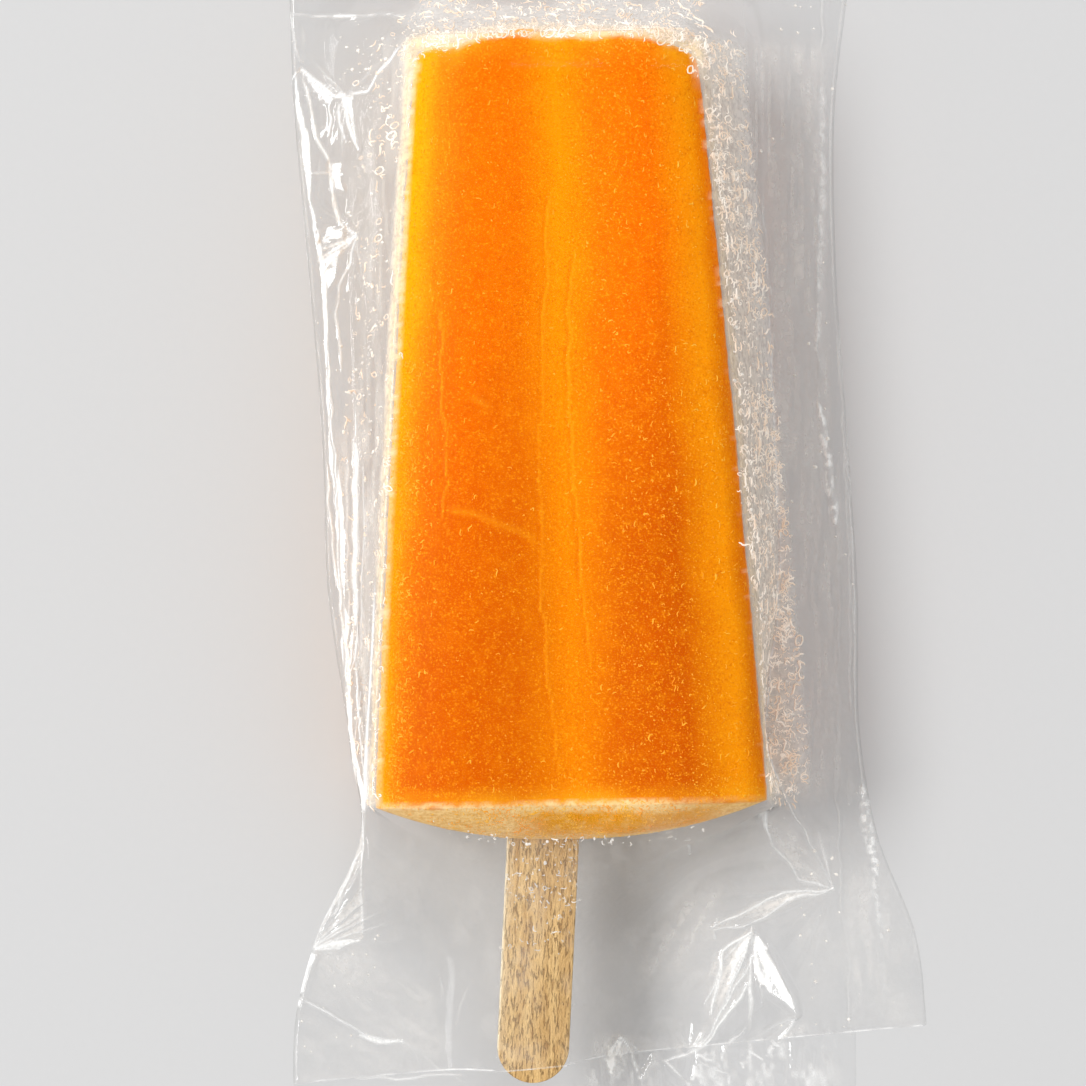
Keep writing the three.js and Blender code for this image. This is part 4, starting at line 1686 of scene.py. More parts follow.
# each with its corners, strength, fade and direction of streaks
HAZES: tuple[Haze, ...] = (
    Haze(((22.5, -17.0), (26.0, -14.6), (30.5, -13.3), (34.5, -12.9), (31.0, -14.6), (26.5, -16.6)), 0.30,
          1.0, 25.0),
    Haze(((26.0, -1.4), (27.9, 0.5), (32.9, -6.5), (37.0, -12.9), (32.9, -12.1), (30.8, -8.9)), 0.20, 1.6,
          -58.0),
    Haze(((37.0, -12.9), (30.3, -13.2), (24.9, -15.5), (20.1, -17.8), (22.8, -18.2), (27.6, -16.9),
          (30.8, -14.5)), 0.26, 1.2, 28.0),
    Haze(((25.8, -18.4), (20.6, -22.0), (19.6, -30.0), (17.0, -36.0), (22.0, -31.0), (26.0, -25.0)), 0.42,
          2.0, 62.0),
    Haze(((31.9, -30.2), (27.0, -33.0), (22.0, -37.0), (30.0, -37.0), (34.0, -33.0)), 0.22, 2.4, 38.0),
    Haze(((18.0, -12.0), (24.0, -13.0), (19.0, -20.0), (10.0, -27.0), (9.0, -20.0)), 0.16, 4.0, 60.0),
    Haze(((3.0, -33.0), (30.0, -36.0), (40.0, -36.0), (40.0, -40.0), (3.0, -40.0)), 0.28, 2.0, 88.0),
    Haze(((38.5, 0.0), (42.0, -2.0), (47.0, -20.0), (48.0, -32.0), (40.0, -32.0), (39.0, -15.0)), 0.17, 3.0,
          -82.0),
    Haze(((-36.6, -21.2), (-30.0, -19.6), (-20.0, -27.0), (-17.0, -37.0), (-24.0, -35.0), (-33.0, -30.0)),
          0.15, 3.0, -35.0),
    Haze(((-38.0, -30.0), (-26.0, -35.0), (-16.0, -39.0), (-38.0, -40.0)), 0.12, 3.0, -20.0),
)

# each with its part of the film, the facets' size across and along, their rise and seed
CRUMPLES: tuple[Crumple, ...] = (
    Crumple(Part.LEFT, 2.6, 12.0, 0.14, 71),
    Crumple(Part.LEFT, 1.1, 6.0, 0.035, 72),
    Crumple(Part.TIP_LEFT, 2.8, 4.4, 0.15, 73),
    Crumple(Part.RIGHT, 2.4, 22.0, 0.09, 75),
    Crumple(Part.RIGHT, 1.0, 5.0, 0.02, 76),
    Crumple(Part.MOUTH, 7.5, 9.5, 0.30, 77),
    Crumple(Part.MOUTH, 2.8, 3.6, 0.05, 78),
    Crumple(Part.MOUTH_EDGE, 2.6, 5.2, 0.55, 79),
    Crumple(Part.MOUTH_EDGE, 1.2, 2.4, 0.10, 80),
    Crumple(Part.CORNER, 4.5, 6.0, 0.10, 81),
    Crumple(Part.ALL, 1.5, 2.4, 0.020, 83),
)


@dataclass(frozen=True)
class FilmSpots:
    """Places on the film, with how each lies to what the film covers."""

    x: Array
    y: Array
    flat: Array
    off_left: Array
    off_right: Array
    off_ice: Array
    past_tip: Array
    off_stick: Array
    beside: Array
    low: Array
    on_left: Array
    on_right: Array


@dataclass
class FilmSleeve:
    """The clear sleeve: an upper layer over the lolly and a lower one on the surface."""

    ice: IceBar
    stick: Stick
    top: float = 118.0
    lip_end: float = -49.0
    lip_root: float = -30.0
    lip_right: float = 40.4
    lower_z: float = 0.06
    lower_grid: tuple[int, int, int] = (130, 110, 240)  # rows of the lip, rows past it, columns
    dome_half: float = 26.8
    mouth_left: Point = (-38.5, -40.1)
    mouth_right: Point = (50.3, -31.9)
    left_gather: Point = (-36.6, -21.2)
    tip_runout: float = 7.0
    tip_narrowing: float = 5.0
    rim_runout: float = 24.0
    sag: float = 0.03
    clear: float = 0.35
    flat_z: float = 0.9
    lowest_z: float = 0.35
    hem_z: tuple[float, float] = (0.30, 0.32)  # at the side folds and at the shut end
    off_ice: float = 0.22
    off_stick: float = 0.15
    seam_y: float = -3.0
    mouth_rows: int = 236
    body_rows: int = 400
    split_row: int = 200
    columns: tuple[int, ...] = (64, 80, 64, 90, 104)
    drape: float = 2.4
    band_y: tuple[float, ...] = (-1, 8, 14, 20, 27, 33, 38, 46, 52, 70, 76, 80, 84, 88, 92, 97, 101)
    band_width: tuple[float, ...] = (
        0.8, 0.6, 0.7, 1.1, 0.8, 1.1, 1.5, 1.4, 0.7, 0.5, 0.7, 0.7, 0.4, 1.0, 1.0, 0.7, 0.2,
    )
    plan_y: tuple[float, ...] = (-49, -30, -20, -5, 7, 30, 48, 77, 97, 118)
    left_fold_x: tuple[float, ...] = (-38.5, -38.4, -35.8, -29.4, -30.8, -34.1, -34.7, -37, -38.8, -39.6)
    left_foot_x: tuple[float, ...] = (-33.0, -33.6, -33.8, -29.1, -30.9, -32.4, -33.7, -35.5, -38.4, -39.4)
    shelf_end_x: tuple[float, ...] = (-29.0, -29.1, -29.2, -28.2, -29.4, -30.2, -30.1, -31.0, -31.6, -33.0)
    right_foot_x: tuple[float, ...] = (32, 33, 36, 32.4, 28, 29.4, 29, 27.7, 26.6, 25)
    right_fold_x: tuple[float, ...] = (50.3, 50.2, 49, 43.4, 41.2, 40.6, 39.4, 37.5, 37.4, 39.8)

    def __post_init__(self) -> None:
        """Makes the plan's curves."""
        self.left_fold = smooth_curve(self.plan_y, self.left_fold_x)
        self.left_foot = smooth_curve(self.plan_y, self.left_foot_x)
        self.shelf_end = smooth_curve(self.plan_y, self.shelf_end_x)
        self.right_foot = smooth_curve(self.plan_y, self.right_foot_x)
        self.right_fold = smooth_curve(self.plan_y, self.right_fold_x)

    @staticmethod
    def runout(distance: Array, run: float) -> Array:
        """The share of a run that a distance covers, quick at first and slow at its end."""
        share = np.clip(distance / run, 0.0, 1.0)
        return share * (2.0 - share)

    def held(self, y: Array) -> tuple[Array, Array, Array]:
        """The stretch of film that the ice or the stick holds up.

        Args:
            y: Where to read it.

        Returns:
            Its left end, its right end and its height.
        """
        past_tip = self.runout(y - self.ice.length - self.clear, self.tip_runout)
        past_rim = self.runout(-y - self.clear, self.rim_runout)
        half = self.ice.half_width(y) + self.clear
        middle = self.ice.shift_x - y * math.tan(self.ice.lean)
        narrowing = self.tip_narrowing * past_tip
        stick_left, stick_right = self.stick.sides(y, self.clear)
        over_ice = lerp(self.ice.middle_z + self.ice.thickness / 2 + self.clear, self.flat_z, past_tip)
        over_stick = self.stick.middle_z + self.stick.thickness / 2 + self.clear
        return (
            lerp(middle - half + narrowing, stick_left, past_rim),
            lerp(middle + half - narrowing, stick_right, past_rim),
            lerp(over_ice, over_stick, past_rim),
        )

    def mouth_y(self, x: Array) -> Array:
        """Y of the upper layer's cut edge."""
        share = (x - self.mouth_left[0]) / (self.mouth_right[0] - self.mouth_left[0])
        return lerp(self.mouth_left[1], self.mouth_right[1], share)

    def shelf(self, y: Array, left: Array) -> Array:
        """X where the film's level stretch on the left ends, at least a little short of the ice."""
        return np.minimum(self.shelf_end(y), left - 0.8)

    def from_fold(self, x: Array, y: Array) -> Array:
        """How far points lie from the nearer side fold."""
        return np.minimum(x - self.left_fold(y), self.right_fold(y) - x)

    def plan_grid(self) -> tuple[Array, Array]:
        """The upper layer's vertices in plan, from the cut edge to the far end.

        Returns:
            X and Y as rows by columns.
        """
        count = sum(self.columns) + 1
        near = np.linspace(0.0, 1.0, self.mouth_rows, endpoint=False)[:, None] + np.zeros(count)
        far = np.linspace(0.0, 1.0, self.body_rows + 1)[:, None] + np.zeros(count)
        body = lerp(self.seam_y, self.top, far)
        y = np.vstack([lerp(-36.0, self.seam_y, near), body])
        for _ in range(4):
            x = self.column_x(y)
            y = np.vstack([lerp(self.mouth_y(x[: self.mouth_rows]), self.seam_y, near), body])
        return x, y

    def column_x(self, y: Array) -> Array:
        """X of each column's vertex at its own y.

        Args:
            y: Y as rows by columns.

        Returns:
            X in the same shape.
        """
        left, right, _ = self.held(y)
        marks = [self.left_fold(y), self.left_foot(y), left, right, self.right_foot(y), self.right_fold(y)]
        x = np.empty_like(y)
        start = 0
        for index, steps in enumerate(self.columns):
            part = (np.arange(steps + 1) / steps)[None, :]
            stretch = slice(start, start + steps + 1)
            x[:, stretch] = lerp(marks[index][:, stretch], marks[index + 1][:, stretch], part)
            start += steps
        even = lerp(marks[0], marks[-1], np.linspace(0.0, 1.0, y.shape[1])[None, :])
        return lerp(x, even, ease(y, self.seam_y, self.seam_y - 11.0))

    def smooth_height(self, x: Array, y: Array) -> Array:
        """Height of the film before it is creased.

        Args:
            x: X of the points.
            y: Y of the points.

        Returns:
            The heights.
        """
        left, right, height = self.held(y)
        clinging = ease(y, -1.0, -9.0)

        def rise(off: Array, run: Array) -> Array:
            """The climb from the surface to the held stretch, steep and clinging beside the stick."""
            part = np.clip(1 - off / np.maximum(run, 0.5), 0.0, 1.0)
            tent = part - self.sag * np.sin(np.pi * part) * run / (height - self.flat_z)
            steep = part * np.exp(-np.maximum(off, 0.0) / self.drape)
            return self.flat_z + (height - self.flat_z) * lerp(tent, steep, clinging)

        up_left = rise(left - x, left - self.shelf(y, left))
        up_right = rise(x - right, self.right_foot(y) - right)
        across = np.clip((x - left) / np.maximum(right - left, 0.5) * 2 - 1, -1.0, 1.0)
        crown = 0.4 * (height - self.flat_z) / 21.0 * (1 - across**4)
        held = (x > left) & (x < right)
        z = np.where(held, height + crown, np.where(x <= left, up_left, up_right))
        return np.maximum(z, self.flat_z)

    def bands(self, x: Array, y: Array) -> tuple[Array, Array, Array]:
        """The two long creases on the left, each a narrow strip that tips towards the key light.

        Args:
            x: X of the points.
            y: Y of the points.

        Returns:
            The rises, a mask that is 1 on and near the outer crease, and how far both are painted white, as
            highlights of the key light.
        """
        left, _, _ = self.held(y)
        along = plan_spots(0 * y, y)
        uneven = noise_share(along, 7.0, 45)
        sway = layered_noise(along, (0.22, 3.1, 46), (0.10, 1.1, 47))
        foot, shelf = self.left_foot(y) + sway, self.shelf(y, left) + 1.4 * sway
        lit, _ = Facing.KEY.value
        outer_width = (0.75 + 0.45 * uneven) * np.interp(y, self.band_y, self.band_width)
        inner_width = 0.09 + 0.28 * (1 - uneven) ** 1.5
        outer = lit * np.clip(x - foot, 0.0, outer_width)
        inner = lit * np.clip(x - shelf + inner_width, 0.0, inner_width)
        climbed = np.clip((x - shelf) / np.maximum(left - shelf, 0.5), 0.0, 1.0)
        near = ease(np.abs(x - foot - 0.5 * outer_width), 1.6, 0.7)
        streak = 0.22 + 0.84 * ease(value_noise(plan_spots(x * 4.0, 0.18 * y), 1.6, 48), -0.25, 0.20)
        on_outer = ease(x - foot, -0.10, 0.10)
        on_outer = on_outer * ease(x - foot, outer_width + 0.12, outer_width - 0.12)
        on_inner = ease(x - shelf, -inner_width - 0.15, -inner_width + 0.05)
        on_inner = on_inner * ease(x - shelf, 0.15, -0.05)
        outer_ends, inner_ends = ease(y, 103.0, 100.5), ease(y, 66.0, 50.0)
        white = outer_ends * ease(y, -2.5, -0.5) * streak * np.maximum(on_outer, 0.7 * on_inner * inner_ends)
        return (outer * outer_ends + inner * inner_ends) * (1 - climbed), near, white

    def parts(self, x: Array, y: Array) -> dict[Part, Array]:
        """Soft masks for the parts of the sleeve.

        Args:
            x: X of the points.
            y: Y of the points.

        Returns:
            A mask from 0 to 1 for each part, none of them over the ice's upper face.
        """
        left, right, _ = self.held(np.clip(y, 0.0, self.ice.length))
        beside = ease(y, -2.0, 1.5) * ease(y, self.ice.length + 1.5, self.ice.length - 1.5)
        over = ease(x, left - 0.6, left + 1.2) * ease(x, right + 0.6, right - 1.2) * beside
        open_film = 1 - over
        above_rim = ease(y, -8.0, 2.0)
        below_rim = 1 - above_rim
        return {
            Part.LEFT: ease(x, left + 0.5, left - 1.0) * above_rim * open_film,
            Part.RIGHT: ease(x, right - 0.5, right + 1.0) * above_rim * open_film,
            Part.TIP_LEFT: ease(x, left + 0.5, left - 1.0) * ease(y, 68.0, 84.0) * open_film,
            Part.MOUTH: below_rim * open_film * ease(x, -14.0, 4.0),
            Part.MOUTH_EDGE: ease(y, -29.0, -35.0) * ease(x, 2.0, 9.0) * ease(x, 41.0, 36.0),
            Part.CORNER: ease(x, -18.0, -27.0) * ease(y, -8.0, -20.0),
            Part.ALL: open_film,
        }

    def tipped(self, z: Array, x: Array, y: Array) -> tuple[Array, Array]:
        """Flattens the film into its named facets.

        Args:
            z: Heights of the film.
            x: X of the points.
            y: Y of the points.

        Returns:
            The new heights, and how far the facets are painted white, as highlights.
        """
        white = np.zeros_like(z)
        ragged = layered_noise(plan_spots(x, y), (0.20, 0.9, 89), (0.10, 0.45, 90))
        for facet in FACETS:
            corners = list(facet.corners)
            inside = inside_polygon(x, y, corners)
            if not inside.any():
                continue
            middle_x, middle_y = x[inside].mean(), y[inside].mean()
            rise_x, rise_y = facet.facing.value
            plane = z[inside].mean() + facet.lift + rise_x * (x - middle_x) + rise_y * (y - middle_y)
            depth = depth_inside(x, y, corners)
            z = lerp(z, plane, ease(depth, -0.7 - 0.6 * facet.lift, 0.0))
            off_x, off_y = x - corners[0][0], y - corners[0][1]
            pleats = plan_spots(9.0 * np.arctan2(off_y, off_x), 0.22 * np.hypot(off_x, off_y))
            streak = 0.22 + 0.85 * ease(value_noise(pleats, 1.0, 95), -0.35, 0.20)
            white = np.maximum(white, facet.white * streak * ease(depth + ragged, -0.10, 0.18))
        return z, white

    def ridged(self, x: Array, y: Array) -> tuple[Array, Array]:
        """How far the named creases stand up.

        Args:
            x: X of the points.
            y: Y of the points.

        Returns:
            The rises, and how far the creases are painted white, partly as whitening and partly as painted
            highlights.
        """
        spot = plan_spots(x, y)
        swayed_x, swayed_y = x + 0.26 * value_noise(spot, 2.2, 91), y + 0.26 * value_noise(spot, 2.2, 92)
        gaps, fine = noise_share(spot, 1.3, 93), noise_share(spot, 0.55, 94)
        bead = noise_share(spot, 0.62, 98)
        total, white = np.zeros_like(x), np.zeros_like(x)
        for fan in FANS:
            total = np.maximum(total, fan.rise(swayed_x, swayed_y))
            white = np.maximum(white, fan.gleam(swayed_x, swayed_y) * (0.65 + 0.35 * fine))
        for ridge in RIDGES:
            points = list(ridge.points)
            far = distance_to_line(swayed_x, swayed_y, points)
            ends = np.minimum(*(np.hypot(x - end_x, y - end_y) for end_x, end_y in (points[0], points[-1])))
            taper = 0.45 + 0.55 * ease(ends, 0.0, 2.5)
            strength = (1 - ridge.broken * gaps) * ridge.rise
            total = np.maximum(total, strength * np.clip(1 - far / (ridge.width * taper), 0.0, 1.0))
            line = np.exp(-((far / (ridge.thick * taper)) ** 2))
            beads = lerp(1.0, 0.25 + 0.75 * ease(bead, 0.42, 0.60), ridge.beaded)
            whole = 1 - ridge.broken * np.maximum(gaps, fine)
            white = np.maximum(white, ridge.white * beads * line * whole)
        return total, white

    @staticmethod
    def whitened(x: Array, y: Array, relief: Array) -> Array:
        """Where the relief bends so sharply that the film turns white.

        Args:
            x: X of the points, as rows by columns.
            y: Y of the points.
            relief: How far the film stands off its smooth form.

        Returns:
            A value from 0 to 1 for each point.
        """
        step_x, step_y = (np.maximum(np.gradient(v, axis=a), 0.02) for v, a in ((x, 1), (y, 0)))
        slope_x, slope_y = np.gradient(relief, axis=1) / step_x, np.gradient(relief, axis=0) / step_y
        bend = np.gradient(slope_x, axis=1) / step_x + np.gradient(slope_y, axis=0) / step_y
        return ease(-bend, 0.16, 0.9)

    def upper_height(self, x: Array, y: Array) -> tuple[Array, Array]:
        """Height of the finished upper layer.

        Args:
            x: X of the points, as rows by columns.
            y: Y of the points.

        Returns:
            The heights, and how far the film is whitened or painted with highlights.
        """
        z = self.draped(x, y)
        part = self.parts(x, y)
        stepped, near_band, band_white = self.bands(x, y)
        above_rim = ease(y, -22.0, -16.0)
        relief = np.zeros_like(z)
        for crumple in CRUMPLES:
            lifted = facet_noise(x, y, crumple.across, crumple.along, crumple.seed)
            relief += crumple.rise * part[crumple.part] * (1 - 0.9 * near_band * above_rim) * lifted
        bent = self.whitened(x, y, relief) * part[Part.ALL]
        z, facet_white = self.tipped(z + relief + stepped * above_rim, x, y)
        ridges, ridge_white = self.ridged(x, y)
        z = np.maximum(z + ridges * part[Part.ALL], self.ice.top_height(x, y) + self.off_ice)
        stick_left, stick_right = self.stick.sides(y, self.off_stick)
        over_stick = (x > stick_left) & (x < stick_right) & (y > self.stick.end[1] + 1.0) & (y < 0)
        stick_top = self.stick.middle_z + self.stick.thickness / 2 + self.off_stick
        z = np.where(over_stick, np.maximum(z, stick_top), z)
        ragged = 0.35 + 0.3 * value_noise(plan_spots(x, y), 1.4, 96)
        cut = ease(y - self.mouth_y(x), 0.30, 0.10) * ragged
        patch = ease(value_noise(plan_spots(x, 0.5 * y), 3.4, 99), -0.25, 0.35)
        bent = 0.30 * bent * (0.3 + 0.7 * patch)
        # bent is whitening where the film bends sharply; the bands, facets and ridges carry painted
        # highlights
        white = np.maximum.reduce([bent, band_white, facet_white, ridge_white, cut])
        return np.maximum(z, self.lowest_z), np.clip(white * part[Part.ALL], 0.0, 1.0)

    def draped(self, x: Array, y: Array) -> Array:
        """The smooth film with its bends eased, most of all past the rim and the tip.

        Args:
            x: X of the points, as rows by columns.
            y: Y of the points.

        Returns:
            The heights.
        """
        z = self.smooth_height(x, y)
        for _ in range(6):
            z[1:-1] = 0.25 * z[:-2] + 0.5 * z[1:-1] + 0.25 * z[2:]
        for _ in range(2):
            z[:, 1:-1] = 0.2 * z[:, :-2] + 0.6 * z[:, 1:-1] + 0.2 * z[:, 2:]
        soft = z.copy()
        for _ in range(30):
            soft[3:-3] = 0.25 * soft[:-6] + 0.5 * soft[3:-3] + 0.25 * soft[6:]
            soft[:, 3:-3] = 0.25 * soft[:, :-6] + 0.5 * soft[:, 3:-3] + 0.25 * soft[:, 6:]
        return lerp(z, soft, np.maximum(ease(y, 1.5, -2.0), ease(y, 84.0, 94.0)))

    def spots(self, x: Array, y: Array) -> FilmSpots:
        """Measures how places on the film lie to the ice and the stick.

        Args:
            x: X of the places.
            y: Y of the places.

        Returns:
            The places with what was measured.
        """
        left, right, _ = self.held(np.clip(y, 0.0, self.ice.length))
        stick_left, stick_right = self.stick.sides(y, 0.0)
        return FilmSpots(
            x=x,
            y=y,
            flat=plan_spots(x, y),
            off_left=left - x,
            off_right=x - right,
            off_ice=self.ice.outside(x, y),
            past_tip=y - self.ice.length,
            off_stick=np.abs(x - 0.5 * (stick_left + stick_right)),
            beside=ease(y, -2.0, 3.0) * ease(y, self.ice.length + 2.0, self.ice.length - 2.0),
            low=ease(y, 66.0, 44.0),
            on_left=ease(x + 2.4, -12.0, -19.0),
            on_right=ease(x, 14.0, 20.0),
        )

    @staticmethod
    def edge_mist(at: FilmSpots) -> tuple[Array, Array, Array]:
        """Mist where the film leaves the ice.

        Args:
            at: Where to read it.

        Returns:
            The mist over the tip, round the tip's corners and along the left side.
        """
        uneven = 0.5 * value_noise(at.flat, 2.4, 55)
        granular = value_noise(at.flat, 0.7, 57)
        ragged = 1.6 * value_noise(at.flat, 3.2, 53)
        over_tip = ease(at.off_ice + 0.5 * uneven, -1.2, -0.3) * ease(at.past_tip, -3.5, -1.5)
        over_tip = over_tip * ease(at.past_tip + ragged, 7.5, 4.0)
        over_tip = over_tip * ease(np.abs(at.x + 2.4) + ragged, 24.5, 15.5)
        around = ease(at.off_ice + 0.25 * granular, -1.15, -0.6) * ease(at.off_ice, 2.8, 0.7)
        around = around * ease(at.past_tip, -9.0, -3.0)
        start, width = lerp(-0.55, -0.40, at.low), 1.12 + 0.6 * uneven
        fringe = ease(at.off_ice + 0.45 * granular, start, start + 0.5)
        fringe = fringe * ease(at.off_ice, width + 0.5, width - 0.4)
        fringe = fringe * at.on_left * ease(at.y, -1.2, 0.4) * (1 - 0.25 * at.low * (granular < 0))
        return over_tip, around, fringe

    def side_haze(self, at: FilmSpots) -> Array:
        """Haze beside the ice: veined on the left, and even and then veined on the right, where it is partly
        haze and partly painted light that lightens the ice's shadow.

        Args:
            at: Where to read it.

        Returns:
            How thick it is.
        """
        veins = 0.62 + 0.80 * value_noise(plan_spots(3.2 * at.x, 0.3 * at.y), 1.5, 58)
        left = (0.27 + 0.03 * at.low) * veins * ease(at.x - self.left_foot(at.y), 0.0, 0.7) * at.beside
        left = left * ease(at.off_left, -0.3, 0.4) * lerp(ease(at.off_left, 7.0, 2.0), 1.0, at.low)
        # partly haze, partly painted light that lightens the ice's shadow beside it
        right = 0.56 * ease(at.off_right, -0.35, 0.1) * ease(at.off_right, 8.0, 5.6) * at.beside
        streaks = ease(value_noise(plan_spots(at.x, 0.1 * at.y), 1.3, 56), 0.1, 0.6)
        # a plain veil over the ice's shadow: partly streaky haze, partly painted light that lightens the
        # shadow
        haze_and_shadow_lift = (0.09 + 0.20 * veins + 0.07 * streaks) * ease(at.off_right, 3.0, 6.0)
        haze_and_shadow_lift = haze_and_shadow_lift * ease(self.right_fold(at.y) - at.x, 0.5, 3.0) * at.beside
        edge = at.off_ice + 0.5 * value_noise(at.flat, 0.7, 57)
        fringe = ease(edge, -0.3, 0.2) * ease(edge, 1.3, 0.4) * at.on_right * at.beside
        return np.maximum.reduce([left, right, haze_and_shadow_lift, 0.45 * fringe])

    def mouth_haze(self, at: FilmSpots) -> Array:
        """Haze past the rim: faint blots, the named patches, rays where the left side gathers, and a faint
        veil right of the stick that is painted light lightening its shadow.

        Args:
            at: Where to read it.

        Returns:
            How thick it is.
        """
        past_rim = ease(at.y, -0.5, -5.0)
        blot = ease(value_noise(plan_spots(at.x, 0.6 * at.y), 7.0, 59), -0.3, 0.6)
        mottle = ease(value_noise(plan_spots(at.x, 0.7 * at.y), 2.2, 64), -0.2, 0.7)
        middle = ease(at.x, 0.0, 5.0) * ease(at.x, 26.0, 14.0)
        # the middle term is painted light that lightens the shadow right of the stick
        haze = past_rim * (0.01 + 0.08 * blot + 0.07 * mottle + 0.06 * middle)
        for patch in HAZES:
            haze = haze + past_rim * patch.mask(at.x, at.y)
        gather_x, gather_y = self.left_gather
        turn = np.degrees(np.arctan2(at.y - gather_y, at.x - gather_x))
        rays = 0.55 * noise_share(plan_spots(0.33 * turn, 0 * at.x), 1.0, 60) * ease(turn, 8.0, 14.0)
        return np.maximum(haze, rays * ease(at.x, -28.6, -29.3) * ease(at.y, -1.0, -5.0))

    @staticmethod
    def ice_glow(at: FilmSpots) -> Array:
        """How strongly the mist takes up painted orange light thrown from the ice.

        Args:
            at: Where to read it.

        Returns:
            A value from 0 to 1 for each place.
        """
        sides = np.maximum.reduce([
            ease(at.off_left, 1.9, -0.5) * at.on_left,
            0.22 * ease(at.off_left, 6.0, 1.0) * at.on_left,
            0.75 * ease(at.off_right, 2.0, 0.0) * at.on_right,
            0.28 * ease(at.off_right, 7.0, 2.0) * at.on_right,
        ])
        tip = ease(at.off_ice, 2.6, -0.4) * ease(at.past_tip, -9.0, -2.0)
        return np.clip(np.maximum(sides * at.beside, tip), 0.0, 1.0)

    @staticmethod
    def lit_strip(at: FilmSpots) -> Array:
        """The white line on the film left of the ice's lower end.

        Args:
            at: Where to read it.

        Returns:
            How white it is.
        """
        off = lerp(1.0, 1.5, ease(at.y, 22.0, 0.0))
        width = lerp(0.19, 0.36, ease(at.y, 14.0, 2.0))
        strip = np.exp(-(((at.off_left - off) / width) ** 2)) * ease(at.y, -1.0, 0.5)
        return 0.95 * strip * ease(at.y, 33.0, 24.0)

    @staticmethod
    def contact(at: FilmSpots) -> Array:
        """Where the film lies close on what it covers, or so flat that it mirrors nothing bright.

        Args:
            at: Where to read it.

        Returns:
            A value from 0 to 1 for each place.
        """
        on_ice = ease(at.off_left, 0.3, -0.7) * ease(at.off_right, 0.3, -0.7)
        on_ice = on_ice * ease(at.past_tip, 0.5, -1.5) * ease(at.y, -1.0, 0.8)
        by_stick = 0.9 * ease(at.off_stick, 16.0, 12.0) * ease(at.y, 1.0, -1.0)
        by_rim = 0.7 * ease(at.x, -4.0, -10.0) * ease(at.y, 1.0, -3.0) * ease(at.x, -33.0, -29.0)
        corner = 0.9 * ease(at.y, 99.3, 101.0) * ease(at.x, -23.0, -27.0)
        return np.maximum.reduce([on_ice, by_stick, by_rim, corner * ease(at.y, 109.0, 108.0)])

    def dew(self, at: FilmSpots, over_tip: Array, around: Array, fringe: Array) -> dict[str, Array]:
        """How densely worms, curls and drops of dew lie.

        Args:
            at: Where to read it.
            over_tip: The mist over the tip.
            around: The mist round the tip's corners.
            fringe: The mist along the left side.

        Returns:
            The values of the carrier's attributes.
        """
        patch = noise_share(at.flat, 6.0, 51)
        right = ease(at.off_right, -0.1, 0.5) * ease(at.off_right, 7.0, 5.6) * at.beside
        left = ease(at.off_left, 0.3, 1.2) * ease(at.off_left, 8.5, 4.0) * at.beside
        near_stick = ease(at.off_stick, 5.5, 4.5) * ease(at.y, -24.0, -8.0) * (at.y < -4.5)
        worms = right * (0.15 + 1.2 * patch) + 0.45 * over_tip + 0.45 * around
        worms = worms + left * patch * lerp(0.30, 0.10, at.low) + 0.30 * fringe * at.low
        upper_left = ease(np.hypot((at.x + 28.0) / 5.0, (at.y - 104.0) / 4.5), 1.3, 0.5)
        low_right = ease(np.hypot((at.x - 13.0) / 6.0, (at.y + 19.0) / 4.5), 1.4, 0.4)
        off_middle = np.clip(np.abs(at.x) / self.dome_half, 0.0, 1.0)
        dome_edge = -self.ice.dome_bulge * (1 - off_middle**self.ice.dome_power)
        beads = ease(np.abs(at.y - dome_edge + 0.1), 0.9, 0.3) * ease(np.abs(at.x - 1.0), 21.0, 17.0)
        drops = 0.35 * right + 0.40 * left * patch + 0.5 * upper_left + 0.4 * over_tip
        drops = drops + 0.09 + 0.35 * low_right
        drops = ease(at.off_ice, 0.0, 0.5) * drops + 0.20 * near_stick + 0.5 * beads
        return {
            "worms": np.clip(worms, 0.0, 1.0),
            "curls": np.clip(0.62 * near_stick * (0.3 + 0.7 * patch) + 0.55 * beads, 0.0, 1.0),
            "drops": np.clip(drops, 0.0, 1.0),
        }

    def build_upper(self) -> tuple[list[Piece], Piece]:
        """Makes the upper layer.

        Returns:
            The stretch at the mouth, the two over the ice, and a copy of all three that carries the dew.
        """
        x, y = self.plan_grid()
        z, white = self.upper_height(x, y)
        fold = self.from_fold(x, y)
        side_z, end_z = self.hem_z
        z = lerp(side_z, z, ease(fold, 0.0, 0.45))
        z = lerp(end_z, z, ease(self.top - y, 0.0, 2.6))
        points = np.stack([x, y, z], axis=-1)

        at = self.spots(x, y)
        over_tip, around, fringe = self.edge_mist(at)
        edge_mist = [0.46 * over_tip, 0.80 * around, 0.86 * fringe]
        mist = np.maximum.reduce([*edge_mist, self.side_haze(at), self.mouth_haze(at)])
        hem = 0.32 * ease(fold, 0.30, 0.42) * ease(fold, 0.75, 0.55) * noise_share(at.flat, 3.0, 97)
        masks = {
            "mist": np.clip(mist, 0.0, 0.96),
            # painted orange light from the ice on the mist
            "ice_glow": self.ice_glow(at),
            "contact": self.contact(at),
            "edge": ease(fold, 0.30, 0.10),
            # whitening and painted highlights, with the lit strip
            "gleam": np.maximum.reduce([white, hem, self.lit_strip(at)]),
        }
        carrier = grid_object("dew_carrier", points)
        for label, values in self.dew(at, over_tip, around, fringe).items():
            add_attribute(carrier, label, values)

